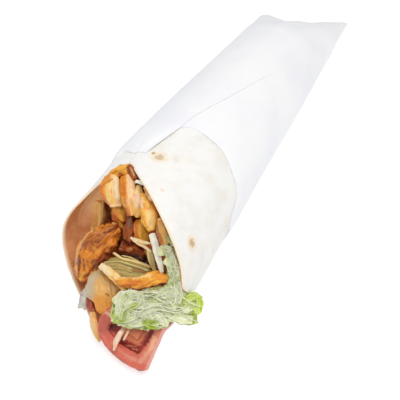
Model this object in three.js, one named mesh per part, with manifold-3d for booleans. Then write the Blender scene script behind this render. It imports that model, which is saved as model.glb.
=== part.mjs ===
// A kebab wrap: flatbread rolled round chicken and salad, its tail end in white paper pressed shut.
import * as THREE from 'three';
import { mergeVertices } from 'three/addons/utils/BufferGeometryUtils.js';
import Module from 'manifold-3d';

const wasm = await Module();
wasm.setup();

// Driving dimensions, in millimetres. The wrap lies along +Y with its open mouth at the front.
const mouthRadius = 32.6; // of the paper, where the mouth is
const taper = 0.053; // radius lost for each millimetre towards the tail
const restFlat = 0.5; // how far the round is pressed flat where it lies
const sway = 1.2; // how far the tail end bends to the right
const gap = 0.3; // kept between neighbouring pieces
const paperThick = 0.8; // two or three turns of paper together
const breadThick = 1.7;
const lipThick = 1.1; // the bread is thinner at its lip
const lapStep = 0.9; // how far the left bread layer tucks under the right one
const lapAngle = 111; // where the two bread layers cross, from the right side over the top
const lipLean = { in: 3.6, inAt: 138, out: 1.4, outAt: 180, from: 24, to: 52 }; // of the left lip
const pressStart = 165; // where the paper starts to close
const breadEnd = 158; // the bread's hidden end
const skinColumns = 44; // faces round the paper and the bread
const mouthTurn = 26; // the filling faces forward, this far to the right
const mouthLift = 46; // and this far up
const mouthCentre = new THREE.Vector3(-1, 16, 34);

const rad = THREE.MathUtils.degToRad;
const mix = THREE.MathUtils.lerp;
const smooth = THREE.MathUtils.smoothstep;

// An even wobble from -1 to 1 that is the same on each run
function wobble(i, j, seed) {
  const v = Math.sin(i * 12.9898 + j * 78.233 + seed * 37.719) * 43758.5453;
  return 2 * (v - Math.floor(v)) - 1;
}

// A value read off a short list of [place, value] stations, on a smooth curve through them
function along(stations, at) {
  const next = stations.findIndex(([place]) => place > at);
  if (next < 0) return stations.at(-1)[1];
  if (next === 0) return stations[0][1];
  const slope = (k) => {
    const [before, after] = [stations[Math.max(0, k - 1)], stations[Math.min(stations.length - 1, k + 1)]];
    return (after[1] - before[1]) / (after[0] - before[0]);
  };
  const [from, start] = stations[next - 1];
  const [to, end] = stations[next];
  const span = to - from;
  const t = (at - from) / span;
  const turns = span * (slope(next - 1) * t * (1 - t) ** 2 - slope(next) * t * t * (1 - t));
  return mix(start, end, t * t * (3 - 2 * t)) + turns;
}

// How far back the bread's lip stands at each angle: right side, over the top, left side, underneath
const lipStations = [
  [-90, -3.2], [-75, -2], [-60, 0.2], [-42, 2.5], [-28, 8], [-12, 13.5], [2, 9.8], [12, 7.6], [24, 10.5],
  [36, 13.2], [57, 19], [75, 25.5], [91, 32], [111, 40], [118, 39], [125, 37], [132, 35.2], [148, 32.8],
  [156, 29.5], [165, 24.5], [178, 20], [200, 15], [220, 10.2], [240, 4.8], [258, -1.5], [270, -3.2],
];

// How far back the paper's front edge stands
const paperStations = [
  [-90, 49], [-20, 50], [2, 52.2], [7, 56], [15, 61], [31, 63.5], [50, 67.6], [62, 68.3], [90, 68.3],
  [98, 60], [106, 47.6], [116, 47.5], [131, 50.4], [140, 48], [148, 49], [158, 52], [170, 56], [215, 53],
  [270, 49],
];

// The lapped upper layer: its side edge as [y, angle], back over the top to the right, and its front edge
const seamStations = [
  [46, 101.4], [52, 98.8], [60, 95.5], [70, 91.4], [80, 87], [93, 79], [107, 71], [122, 63], [134, 54],
  [149, 44], [165, 36],
];
const lapFront = [
  [101, 46.2], [116, 46.7], [131, 49.6], [140, 47.2], [148, 48.2], [158, 51.2], [170, 55.2], [181, 54.6],
];
const lap = { from: 46.2, to: 168, spread: 78, rise: 0.95, fade: 0.12, root: 0.35 };

const tubeRadius = (y) => mouthRadius - taper * y;

// How close an angle is to another, from 0 to a narrow peak of 1
const near = (angle, at) => Math.max(0, Math.cos(rad(angle - at))) ** 6;

// A point on the rolled tube, this far in from the paper's outside, at an angle in degrees
function tubePoint(angle, y, inset) {
  const lean = lipLean.in * near(angle, lipLean.inAt) - lipLean.out * near(angle, lipLean.outAt);
  const radius = tubeRadius(y) - inset - lean * (1 - smooth(y, lipLean.from, lipLean.to));
  const z = tubeRadius(y) - restFlat + radius * Math.sin(rad(angle));
  return new THREE.Vector3(radius * Math.cos(rad(angle)) + sway * smooth(y, 80, 170), y, Math.max(z, inset));
}

// A closed surface over rings of equal count, shut by a fan at each end
function closedSkin(rings) {
  const count = rings[0].length;
  const points = rings.flat();
  const faces = [];
  for (let r = 0; r < rings.length - 1; r++) {
    for (let i = 0; i < count; i++) {
      const a = r * count + i;
      const b = r * count + (i + 1) % count;
      faces.push(a, b, a + count, b, b + count, a + count);
    }
  }
  for (const [ring, offset, way] of [[rings[0], 0, -1], [rings.at(-1), (rings.length - 1) * count, 1]]) {
    const middle = ring.reduce((sum, p) => sum.add(p), new THREE.Vector3()).divideScalar(count);
    points.push(middle);
    for (let i = 0; i < count; i++) {
      const a = offset + i;
      const b = offset + (i + 1) % count;
      faces.push(...(way > 0 ? [a, b, points.length - 1] : [b, a, points.length - 1]));
    }
  }
  return facedOut(points, faces);
}

// A closed sheet between an upper and a lower grid of points
function sheet(upper, lower) {
  const rows = upper.length;
  const columns = upper[0].length;
  const points = [...upper.flat(), ...lower.flat()];
  const under = rows * columns;
  const faces = [];
  const quad = (a, b, c, d) => faces.push(a, b, c, a, c, d);
  for (let i = 0; i < rows - 1; i++) {
    for (let j = 0; j < columns - 1; j++) {
      const a = i * columns + j;
      quad(a, a + columns, a + columns + 1, a + 1);
      quad(under + a, under + a + 1, under + a + columns + 1, under + a + columns);
    }
  }
  const edge = (a, b) => quad(a, b, under + b, under + a);
  for (let i = 0; i < rows - 1; i++) {
    edge((i + 1) * columns, i * columns);
    edge((i + 1) * columns - 1, (i + 2) * columns - 1);
  }
  for (let j = 0; j < columns - 1; j++) {
    edge(j, j + 1);
    edge((rows - 1) * columns + j + 1, (rows - 1) * columns + j);
  }
  return facedOut(points, faces);
}

// An indexed mesh with every face looking outwards
function facedOut(points, faces) {
  let volume = 0;
  const side = new THREE.Vector3();
  for (let f = 0; f < faces.length; f += 3) {
    const [a, b, c] = [points[faces[f]], points[faces[f + 1]], points[faces[f + 2]]];
    volume += a.dot(side.crossVectors(b, c));
  }
  if (volume < 0) faces.reverse();
  const geometry = new THREE.BufferGeometry().setFromPoints(points);
  geometry.setIndex(faces);
  return geometry;
}

// From a mesh to a solid that can be joined and cut, and back
function toSolid(geometry) {
  const plain = geometry.clone();
  plain.deleteAttribute('normal');
  plain.deleteAttribute('uv');
  const merged = mergeVertices(plain, 1e-4);
  const vertProperties = new Float32Array(merged.attributes.position.array);
  const triVerts = new Uint32Array(merged.index.array);
  return new wasm.Manifold(new wasm.Mesh({ numProp: 3, vertProperties, triVerts }));
}

function toGeometry(solid) {
  const { vertProperties, triVerts } = solid.getMesh();
  const geometry = new THREE.BufferGeometry();
  geometry.setAttribute('position', new THREE.BufferAttribute(new Float32Array(vertProperties), 3));
  geometry.setIndex(new THREE.BufferAttribute(new Uint32Array(triVerts), 1));
  return geometry;
}

// The largest of the bodies that a cut leaves
function largestBody(solid) {
  return solid.decompose().sort((a, b) => b.volume() - a.volume())[0];
}

const angles = (count, start) => Array.from({ length: count }, (_, i) => start + 360 * i / count);

// The paper's pressed tail edge: thin at the right, a round raised fold at the left, skewed
const tail = {
  right: [21, 231, 16.5], left: [-20, 196, 25], thin: 1.1, fold: 5, dip: 5, lift: 4, crease: 0.5,
};

function tailPoint(angle) {
  const across = (1 + Math.cos(rad(angle))) / 2;
  const fold = smooth(1 - across, 0.45, 1);
  const [x, y, z] = [0, 1, 2].map((k) => mix(tail.left[k], tail.right[k], across));
  const dip = tail.dip * Math.sin(Math.PI * across) ** 2;
  const thick = mix(tail.thin, tail.fold, fold);
  return new THREE.Vector3(x, y - dip, z + tail.lift * fold - dip + thick * Math.sin(rad(angle)));
}

// Rings over the paper's outside, from the front edge to the pressed tail
function paperOutside(columns) {
  const rings = [];
  for (let row = 0; row <= 6; row++) {
    rings.push(columns.map((angle) => (
      tubePoint(angle, mix(along(paperStations, angle), pressStart, row / 6), 0))));
  }
  for (let row = 1; row <= 6; row++) {
    const t = row / 6;
    rings.push(columns.map((angle) => {
      const end = tailPoint(angle);
      const open = tubePoint(angle, mix(pressStart, end.y, t), 0);
      const crease = tail.crease * wobble(row, Math.round(angle / 22), 4) * Math.sin(Math.PI * t);
      return open.lerp(end, smooth(t, 0, 1)).add(new THREE.Vector3(0, 0, crease));
    }));
  }
  return rings;
}

// The upper layer where the paper laps over itself, thickest at its free edge
function paperLap() {
  const [rows, columns] = [12, 7];
  const grids = [[], []];
  for (let row = 0; row <= rows; row++) {
    const t = row / rows;
    const edge = along(seamStations, mix(lap.from, lap.to, t));
    const points = Array.from({ length: columns + 1 }, (_, column) => {
      const turn = lap.spread * (column / columns) ** 1.4;
      const y = mix(along(lapFront, along(seamStations, lap.from) + turn), lap.to, t);
      const faded = Math.max(column / columns, smooth(y, 90, lap.to));
      return { angle: edge + turn, y, rise: mix(lap.rise, lap.fade, faded) };
    });
    grids[0].push(points.map(({ angle, y, rise }) => tubePoint(angle, y, -rise)));
    grids[1].push(points.map(({ angle, y }) => tubePoint(angle, y, lap.root)));
  }
  return sheet(grids[0], grids[1]);
}

function paperWrapper() {
  const columns = angles(skinColumns, -90);
  const hollowEnd = breadEnd + 2;
  const inside = [1, 0.66, 0.33, 0].map((t) => columns.map((angle) => (
    tubePoint(angle, mix(along(paperStations, angle), hollowEnd, t), paperThick))));
  const shell = toSolid(closedSkin([...inside, ...paperOutside(columns)]));
  return largestBody(shell.add(toSolid(paperLap())));
}

// The bread: a cup open at the front, its right layer lapping over the left one
const tuck = (angle) => (angle > lapAngle ? lapStep * (1 - smooth(angle, lapAngle + 12, 215)) : 0);

function breadColumns() {
  const sides = angles(skinColumns, -90).filter((angle) => Math.abs(angle - lapAngle) > 5);
  return [...sides, lapAngle - 1, lapAngle + 0.6].sort((a, b) => a - b);
}

function flatbread(grow = 0) {
  const columns = breadColumns();
  const wall = paperThick + gap;
  const ring = (t, depth, forward) => columns.map((angle) => (
    tubePoint(angle, mix(along(lipStations, angle) - forward, breadEnd, t), wall + tuck(angle) + depth)));
  const inner = [0.94, 0.5, 0.2, 0.07, 0].map((t) => ring(t, (t > 0 ? breadThick : lipThick) + grow, grow));
  const lip = ring(0, lipThick / 2, 0.4 + grow);
  const outer = [0, 0.08, 0.2, 0.45, 1].map((t) => ring(t, -grow, grow));
  return toSolid(closedSkin([...inner, lip, ...outer]));
}

// The soft mass of meat and sauce that runs through the roll, its face uneven in the mouth
const mass = { columns: 28, behindLip: 7, behindLeft: 15, leftAt: 175, end: 146, rough: 1.6, hollow: 1.2 };

function fillingCore() {
  const columns = angles(mass.columns, -90);
  const inset = (angle) => paperThick + gap + tuck(angle) + breadThick + gap + 0.1;
  const leftness = (angle) => Math.max(0, Math.cos(rad(angle - mass.leftAt)));
  const setBack = (angle) => mix(mass.behindLip, mass.behindLeft, leftness(angle));
  const ring = (t) => columns.map((angle) => (
    tubePoint(angle, mix(along(lipStations, angle) + setBack(angle), mass.end, t), inset(angle))));
  const rings = [ring(1), ring(0.5), ring(0.15), ring(0)];
  const rim = rings.at(-1);
  const middle = rim.reduce((sum, p) => sum.add(p), new THREE.Vector3()).divideScalar(rim.length);
  for (const [k, share] of [0.72, 0.42, 0.16].entries()) {
    rings.push(rim.map((p, i) => {
      const q = middle.clone().lerp(p, share);
      q.y += mass.rough * wobble(i, k, 8) - mass.hollow;
      return q;
    }));
  }
  return toSolid(closedSkin(rings));
}

// A strip or lump swept along a path of [across, up, proud] places in the mouth
function sweep(spec, grow = 0) {
  const { path, width, thick, turn = 0, square = 2.6, rough = 0.1, tips = [0.5, 0.5] } = spec;
  const { sides = 8, steps = 5, seed = 1 } = spec;
  const curve = new THREE.CatmullRomCurve3(path.map((p) => new THREE.Vector3(...p)));
  const rings = [];
  for (let i = 0; i <= steps; i++) {
    const t = i / steps;
    const tangent = curve.getTangent(t);
    const centre = curve.getPoint(t).addScaledVector(tangent, grow * (2 * t - 1));
    const flat = new THREE.Vector3(0, 0, 1).cross(tangent).normalize().applyAxisAngle(tangent, rad(turn));
    const deep = tangent.clone().cross(flat);
    const full = mix(t < 0.5 ? tips[0] : tips[1], 1, Math.sqrt(Math.min(1, Math.min(t, 1 - t) * 4)));
    const widthAt = Array.isArray(width) ? mix(width[0], width[1], t) : width;
    rings.push(Array.from({ length: sides }, (_, j) => {
      const turnAt = 2 * Math.PI * (j + 0.5) / sides;
      const [c, s] = [Math.cos(turnAt), Math.sin(turnAt)];
      const bulge = 1 + rough * wobble(i, j, seed);
      const x = Math.sign(c) * Math.abs(c) ** (2 / square) * (widthAt / 2 * full * bulge + grow);
      const z = Math.sign(s) * Math.abs(s) ** (2 / square) * (thick / 2 * full * bulge + grow);
      return centre.clone().addScaledVector(flat, x).addScaledVector(deep, z);
    }));
  }
  return toSolid(closedSkin(rings));
}

// A thin wavy leaf or shred along a path; ribs raise lines along it on both faces alike
function leaf(spec, grow = 0) {
  const { path, width, thick, frill = 0.6, waves = 2, curl = 0, turn = 0 } = spec;
  const { steps = 7, lanes = 2, rib = 0, seed = 1 } = spec;
  const curve = new THREE.CatmullRomCurve3(path.map((p) => new THREE.Vector3(...p)));
  const upper = [];
  const lower = [];
  for (let i = 0; i <= steps; i++) {
    const t = i / steps;
    const tangent = curve.getTangent(t);
    const centre = curve.getPoint(t);
    const flat = new THREE.Vector3(0, 0, 1).cross(tangent).normalize().applyAxisAngle(tangent, rad(turn));
    const out = tangent.clone().cross(flat);
    const spread = width * mix(0.45, 1, Math.sqrt(Math.sin(Math.PI * mix(0.06, 0.94, t))));
    const tops = [];
    const bottoms = [];
    for (let j = 0; j <= lanes; j++) {
      const s = 2 * j / lanes - 1;
      const wave = frill * s * Math.sin(2 * Math.PI * waves * t + seed * 1.7 + s);
      const lift = wave + curl * s * s + (j % 2 ? rib : 0) + 0.25 * frill * wobble(i, j, seed);
      const p = centre.clone().addScaledVector(flat, s * (spread / 2 + grow)).addScaledVector(out, lift);
      tops.push(p.clone().addScaledVector(out, thick / 2 + grow));
      bottoms.push(p.clone().addScaledVector(out, -thick / 2 - grow));
    }
    upper.push(tops);
    lower.push(bottoms);
  }
  return toSolid(sheet(upper, lower));
}

// The chicken, vegetables and shreds, front pieces first
const pieces = {
  onion_shred_lower_1: { make: leaf, path: [[0.9, -29.2, -0.5], [-2.3, -34, 1.8], [-3, -38.7, 2.6]],
    width: 2.2, thick: 0.8, frill: 0.3, curl: 0.2 },
  onion_shred_lower_2: { make: leaf, path: [[2.4, -29.4, 0.2], [1.6, -32.4, 2.2], [-0.3, -34.8, 2.6]],
    width: 1.1, thick: 0.8, frill: 0.2 },
  onion_shred_upper_1: { make: leaf, path: [[3.1, 4.5, 1], [6.9, 1.5, 4], [10.5, 0.1, 6]], width: 1.3,
    thick: 0.8, frill: 0.2, steps: 5 },
  onion_shred_upper_2: { make: leaf, path: [[10, -0.6, 5.4], [11.5, -4.6, 4.6], [12.4, -9, 3]], width:
    2.1, thick: 0.9, frill: 0.3 },
  onion_shred_upper_3: { make: leaf, path: [[4.8, 4.4, 2.4], [7.6, 4, 5], [11, 3.2, 7.4]], width: 1.1,
    thick: 0.8, frill: 0.2, steps: 5 },
  cabbage_strip: { make: leaf, path: [[12.2, 7.2, 9.6], [14.4, -0.4, 10.6], [16, -7.6, 9]], width: 3.1,
    thick: 1.2, frill: 0.25, curl: 0.3 },
  chicken_strip_right: { path: [[8.4, 19.8, 5], [11.2, 16.3, 8], [12.4, 12.5, 9.4], [12, 8.8, 8.6]],
    width: [4.6, 6.6], thick: 5.6, seed: 3, tips: [0.5, 0.35], steps: 6 },
  chicken_strip_left: { path: [[-5, 27.2, -1], [-3.2, 22.4, 1.4], [-1.8, 17.2, 1]], width: 7, thick: 6,
    turn: 32, square: 4.5, rough: 0.06, tips: [0.7, 0.85], seed: 5 },
  chicken_strip_middle: { path: [[1.6, 28, 1], [3.4, 21.3, 4], [4.4, 14.4, 3]], width: 6.4, thick: 6,
    turn: 25, square: 3.6, rough: 0.08, tips: [0.7, 0.5], seed: 6 },
  chicken_strip_thin: { path: [[7.2, 23.4, 4.4], [7.6, 17.6, 4], [6.6, 11.6, 2.4]], width: 3.4, thick:
    3.4, seed: 8 },
  chicken_bend_upper: { path: [[-9.4, -7.8, -4], [-5.3, -9.6, -0.4], [-0.6, -14.2, 3]], width: 3.4, thick:
    3, turn: 20, square: 3.4, seed: 9 },
  chicken_bend_lower: { path: [[1, -13.2, 3.6], [6.9, -12.6, 5.6], [13.2, -11, 8.6], [17.6, -10.4, 9.8]],
    width: 4.3, thick: 4, square: 3.2, seed: 10, steps: 6 },
  grilled_chunk: { path: [[-3.2, 7.8, -10], [-8.2, 2.8, -7.4], [-13, -3, -10], [-16.4, -10.4, -14.6]],
    width: [11, 13], thick: 10, seed: 12, rough: 0.12, tips: [0.45, 0.45], sides: 10, steps: 7 },
  tomato_slice: { make: tomatoSlice },
  tomato_bit: { path: [[-14.3, -20.8, -9.6], [-13.8, -25, -8.6]], width: 3, thick: 3, sides: 6, steps: 3,
    seed: 14 },
  cream_strip: { make: leaf, path: [[-12.7, -25.6, -9], [-12.9, -30.8, -7.6], [-11.2, -36, -5.4]], width:
    3, thick: 1.5, frill: 0.3, curl: -0.3 },
  onion_tip: { make: leaf, path: [[-12.9, -14.4, -12], [-15.7, -18.6, -11.4], [-18.6, -23.2, -10.4]],
    width: 4.4, thick: 1.1, frill: 0.3, curl: -0.6 },
  tan_strip: { path: [[-9.6, 18.4, -8.6], [-11, 11.4, -11.4], [-12.6, 6.4, -14]], width: 4, thick: 3.6,
    square: 3.4, seed: 16 },
  chicken_piece_inner: { path: [[-4.6, 15.6, -5.4], [-1.6, 14.2, -4], [1.2, 14.2, -2.6]], width: 4.4,
    thick: 4.6, seed: 17, steps: 4 },
  chicken_piece_slant: { path: [[-5.4, 13, -8], [-2.6, 10.8, -8], [0.4, 8, -8]], width: 3.8, thick: 4,
    seed: 18, steps: 4 },
  chicken_piece_centre: { path: [[6.1, 9.8, -1], [8, 5.6, 0.4], [9.4, 1.8, -1]], width: 5, thick: 5, seed:
    19, steps: 4 },
  chicken_piece_flap: { path: [[14.8, 12, 12], [17, 7, 13], [19.4, 2.2, 12.6]], width: 4.8, thick: 5,
    seed: 20, steps: 4 },
  chicken_bit: { path: [[9.8, 23.6, 9.4], [11, 19.6, 11]], width: 2, thick: 2, sides: 6, steps: 3, seed:
    21 },
  pale_shred: { make: leaf, path: [[5.2, 26.6, 6], [8.6, 26.1, 8.6]], width: 1.3, thick: 0.8, frill: 0.1,
    steps: 3 },
  chicken_top_left: { path: [[-7.2, 26, -4.6], [-3, 29.4, -1.4], [1.4, 31.6, 1]], width: 3, thick: 3.6,
    seed: 22 },
  chicken_top_right: { path: [[3, 30.6, 1.2], [5.6, 26.6, 3.4]], width: 3.6, thick: 3.4, seed: 23, steps:
    3 },
  glazed_piece: { path: [[2.6, 12.4, -3.6], [3.6, 8.3, -3.4], [2, 3.6, -6]], width: 5, thick: 4.6, seed:
    24, steps: 4 },
  soft_onion: { make: leaf, path: [[-7.6, -8.6, -8.6], [-8.4, -16.6, -4.6], [-10, -24.6, -5]], width:
    11.5, thick: 1.8, frill: 0.5, curl: -1.6, lanes: 4, waves: 1 },
  cabbage_leaf: { make: leaf, path: [[-9.6, -6, -10], [-2.5, -5.6, -6.4], [4.5, -6.6, -3], [9.8, -8, 0]],
    width: 7, thick: 1, frill: 0.5, rib: 0.5, lanes: 6, waves: 1.5, steps: 8 },
  dark_piece: { path: [[0.4, 0.8, -11], [7.8, -1.4, -8]], width: 6, thick: 6, seed: 27, steps: 4 },
  lettuce_heap: { make: lettuceHeap },
};

// A tomato slice that hangs out over the lip: two outer walls meet at its tip, a seed pocket between them
const tomato = {
  tip: [24.3, -13.3, 5.7], slope: 40, lean: 4, thick: 5, wall: 5, pocket: 3.4, pocketDeep: 1.6,
};

function tomatoOutline(inset) {
  const outline = new THREE.Shape();
  outline.moveTo(-1.6 - inset, inset * 0.8);
  outline.quadraticCurveTo(-1 - inset, 12, 0.6 - inset, 22 - inset);
  outline.lineTo(-19 + inset, 22 - inset);
  outline.quadraticCurveTo(-31.6 + inset, 15.4, -24.8 + inset, 4.8 + inset * 0.6);
  outline.quadraticCurveTo(-15.4, -1.8 + inset, -3.6 - inset, -1 + inset);
  return outline;
}

function seedPocket() {
  const { wall, pocket, pocketDeep, thick } = tomato;
  const groove = new THREE.Shape();
  groove.moveTo(-wall + 2, wall + 11);
  groove.lineTo(-wall + 1 - pocket, wall + 10);
  groove.lineTo(-wall - 3.4, wall + pocket + 1.4);
  groove.lineTo(-wall - 16, wall + pocket + 4.6);
  groove.lineTo(-wall - 16.4, wall + 3.4);
  groove.quadraticCurveTo(-wall - 8, wall - 0.8, -wall - 0.6, wall + 0.4);
  const cut = new THREE.ExtrudeGeometry(groove, { depth: 4, bevelEnabled: false, curveSegments: 3 });
  return cut.translate(0, 0, thick - pocketDeep);
}

function tomatoSlice(spec, grow = 0) {
  const { tip, slope, lean, thick } = tomato;
  const round = { bevelSize: 0.8, bevelThickness: 0.8, bevelOffset: -0.8 };
  const bevel = { ...round, bevelSegments: 2, curveSegments: 6 };
  const body = new THREE.ExtrudeGeometry(tomatoOutline(-grow), { ...bevel, depth: thick - 1.6 + 2 * grow });
  body.translate(0, 0, 0.8 - grow);
  let solid = toSolid(body);
  if (grow === 0) solid = solid.subtract(toSolid(seedPocket()));
  const place = new THREE.Matrix4().makeRotationFromEuler(new THREE.Euler(rad(slope), rad(-lean), 0, 'XYZ'));
  const down = new THREE.Matrix4().makeTranslation(0, 0, -thick);
  place.setPosition(...tip).multiply(down);
  const inMouth = new THREE.Matrix4().copy(mouthGroup().matrixWorld).invert().multiply(place);
  return solid.transform(inMouth.elements);
}

// The lettuce: a lump that carries the shreds, and the shreds that show, fused on
const lettuceRuns = [
  { count: 4, from: [[17, 2.6, 9], [20.4, 2.6, 13]], over: [[18.4, -6, 9], [22.4, -6, 14]],
    to: [[18, -16, 8], [23.4, -16, 12]], width: 3.4 },
  { count: 4, from: [[22.4, -15.8, 10.4], [18, -27.4, 7]], over: [[11, -15.8, 7.4], [7, -27.4, 5.6]],
    to: [[0, -16.4, 4.6], [-1.6, -27, 3]], width: 5.4 },
  { count: 3, from: [[21, -17, 10.4], [18, -25, 8]], over: [[26, -17, 11.4], [24, -26, 9]],
    to: [[30.4, -18, 10], [29.6, -26, 7]], width: 5.4 },
  { count: 3, from: [[1, -18, 5], [12, -22, 7.4]], over: [[-2.4, -22, 4], [10, -27, 6.6]],
    to: [[-2.4, -28, 3.4], [8.6, -30.6, 5.6]], width: 4.6 },
];

function lettuceHeap(spec, grow = 0) {
  let heap = sweep({ path: [[1, -20.6, 1], [10, -20.6, 4], [20, -18.6, 7], [20.4, -2, 9]], width: 11,
    thick: 6.4, rough: 0.12, sides: 7, steps: 5, seed: 31 }, grow);
  for (const [r, run] of lettuceRuns.entries()) {
    for (let i = 0; i < run.count; i++) {
      const t = i / (run.count - 1);
      const path = [run.from, run.over, run.to].map(([a, b], k) => (
        a.map((v, n) => mix(v, b[n], t) + 0.7 * wobble(i * 3 + n, k, r + 40))));
      const shred = { path, width: run.width, thick: 1, frill: 1.1, curl: 0.6, steps: 5 };
      heap = heap.add(leaf({ ...shred, turn: 25 * wobble(i, 5, r), seed: r * 7 + i }, grow));
    }
  }
  return heap;
}

let mouthFrame;
function mouthGroup() {
  if (mouthFrame) return mouthFrame;
  mouthFrame = new THREE.Group();
  mouthFrame.position.copy(mouthCentre);
  mouthFrame.rotation.set(rad(90 - mouthLift), 0, rad(mouthTurn), 'ZYX');
  mouthFrame.updateMatrixWorld(true);
  return mouthFrame;
}

// Each piece gives way to those in front of it and to the bread, and the core gives way to all
function fitPieces(bread) {
  const toMouth = new THREE.Matrix4().copy(mouthGroup().matrixWorld).invert();
  const wall = bread.transform(toMouth.elements);
  const fitted = {};
  const before = [wall];
  for (const [name, spec] of Object.entries(pieces)) {
    const make = spec.make ?? sweep;
    fitted[name] = largestBody(before.reduce((solid, other) => solid.subtract(other), make(spec)));
    before.push(make(spec, gap));
  }
  const core = fillingCore().transform(toMouth.elements);
  return { fitted, core: largestBody(before.reduce((solid, other) => solid.subtract(other), core)) };
}

// Colours and finishes
const finishes = {
  paper: [0xf4f4f8, 0.75],
  bread: [0xf2ead9, 0.85],
  core: [0x8a4a22, 0.5],
  chicken: [0xe0a050, 0.55],
  charred: [0xb8612a, 0.5],
  onion: [0xeee4c8, 0.4],
  tomato: [0xd4604a, 0.3],
  lettuce: [0xcbd8a8, 0.5],
};

function finishOf(name) {
  if (name.startsWith('onion') || name.startsWith('soft') || name.startsWith('pale')) return 'onion';
  if (name.startsWith('tomato')) return 'tomato';
  if (name.startsWith('lettuce') || name.startsWith('cabbage')) return 'lettuce';
  if (name.startsWith('grilled') || name.startsWith('dark') || name.startsWith('glazed')) return 'charred';
  return name.startsWith('cream') ? 'onion' : 'chicken';
}

function named(name, solid, finish) {
  const [color, roughness] = finishes[finish];
  const material = new THREE.MeshStandardMaterial({ color, roughness, metalness: 0 });
  const mesh = new THREE.Mesh(toGeometry(solid), material);
  mesh.name = name;
  return mesh;
}

const wrap = new THREE.Group();
const { fitted, core } = fitPieces(flatbread(gap));
wrap.add(named('paper_wrapper', paperWrapper(), 'paper'));
wrap.add(named('flatbread', flatbread(), 'bread'));
const filling = mouthGroup();
filling.add(named('filling_core', core, 'core'));
for (const [name, solid] of Object.entries(fitted)) {
  filling.add(named(name, solid, finishOf(name)));
}
wrap.add(filling);

// The origin is under the middle of the whole wrap, on the surface it lies on
const box = new THREE.Box3().setFromObject(wrap, true);
wrap.position.set(-(box.min.x + box.max.x) / 2, -(box.min.y + box.max.y) / 2, -box.min.z);

const part = new THREE.Group();
part.add(wrap);

export default part;
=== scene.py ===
import math
import random
import bmesh
import bpy
from mathutils import Matrix, Vector, noise
from mathutils.bvhtree import BVHTree


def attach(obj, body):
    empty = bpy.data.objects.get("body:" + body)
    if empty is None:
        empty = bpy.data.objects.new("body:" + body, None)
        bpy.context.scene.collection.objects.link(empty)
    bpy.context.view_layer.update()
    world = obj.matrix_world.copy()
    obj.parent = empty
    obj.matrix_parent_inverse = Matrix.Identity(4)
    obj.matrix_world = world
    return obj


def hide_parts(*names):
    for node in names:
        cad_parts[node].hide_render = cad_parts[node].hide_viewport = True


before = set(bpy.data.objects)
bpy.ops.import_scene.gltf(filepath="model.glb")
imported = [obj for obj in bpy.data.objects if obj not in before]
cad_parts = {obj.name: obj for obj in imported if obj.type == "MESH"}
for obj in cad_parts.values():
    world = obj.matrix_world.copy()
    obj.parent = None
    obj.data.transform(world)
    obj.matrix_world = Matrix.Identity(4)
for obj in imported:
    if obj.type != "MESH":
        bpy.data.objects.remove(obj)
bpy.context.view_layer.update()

print("stage: helpers")
mm = 0.001
rng = random.Random(11)

# The roll lies along +Y, its mouth's lip at rollStart. Sizes are in millimetres until a piece is placed.
rollStart = Vector((-2.92, -108.71, 0.0))
mouthTurn, mouthLift = math.radians(26), math.radians(46)  # the way the filling faces
level = math.cos(mouthLift)
across = Vector((math.cos(mouthTurn), math.sin(mouthTurn), 0))
proud = Vector((math.sin(mouthTurn) * level, -math.cos(mouthTurn) * level, math.sin(mouthLift)))
up = proud.cross(across)
mouthCentre = rollStart + Vector((-1, 16, 34))


def inMouth(place):  # millimetres across, up and proud of the mouth's middle
    d = place / mm - mouthCentre
    return d.dot(across), d.dot(up), d.dot(proud)


def smoothStep(x, low, high):
    t = min(1, max(0, (x - low) / (high - low)))
    return t * t * (3 - 2 * t)


def mix(a, b, t):
    return a + (b - a) * t


def rgb(r, g, b):  # 0 to 255 as shown on a screen, made linear
    return tuple(c / 255 / 12.92 if c < 11 else ((c / 255 + 0.055) / 1.055) ** 2.4 for c in (r, g, b)) + (1,)


def makeActive(piece):
    bpy.ops.object.select_all(action="DESELECT")
    piece.select_set(True)
    bpy.context.view_layer.objects.active = piece


def applyModifiers(piece):
    makeActive(piece)
    for modifier in list(piece.modifiers):
        bpy.ops.object.modifier_apply(modifier=modifier.name)


def editAll(piece, operator, **settings):  # an edit mode operator on the whole mesh
    makeActive(piece)
    bpy.ops.object.mode_set(mode="EDIT")
    bpy.ops.mesh.select_all(action="SELECT")
    operator(**settings)
    bpy.ops.object.mode_set(mode="OBJECT")


def mergeDoubles(piece, distance=0.004):
    editAll(piece, bpy.ops.mesh.remove_doubles, threshold=distance * mm)


def facesOut(piece):
    editAll(piece, bpy.ops.mesh.normals_make_consistent, inside=False)


def addObject(name, data):
    piece = bpy.data.objects.new(name, data)
    bpy.context.scene.collection.objects.link(piece)
    return piece


def gridPiece(name, columns, rows, place):  # a grid, its points where place(column share, row share) says
    bpy.ops.object.select_all(action="DESELECT")
    bpy.ops.mesh.primitive_grid_add(x_subdivisions=columns, y_subdivisions=rows, size=2)
    piece = bpy.context.object
    piece.name = name
    for v in piece.data.vertices:
        v.co = place((v.co.x + 1) / 2, (v.co.y + 1) / 2)
    return piece


def meshPiece(name, mesh):  # a smooth piece from a bmesh of few faces
    data = bpy.data.meshes.new(name)
    mesh.to_mesh(data)
    mesh.free()
    piece = addObject(name, data)
    facesOut(piece)
    modifier = piece.modifiers.new("round", "SUBSURF")
    modifier.levels = modifier.render_levels = 1
    applyModifiers(piece)
    return piece


def thicken(piece, thick, offset=-1):
    modifier = piece.modifiers.new("thickness", "SOLIDIFY")
    modifier.thickness = thick * mm
    modifier.offset = offset
    applyModifiers(piece)


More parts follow.
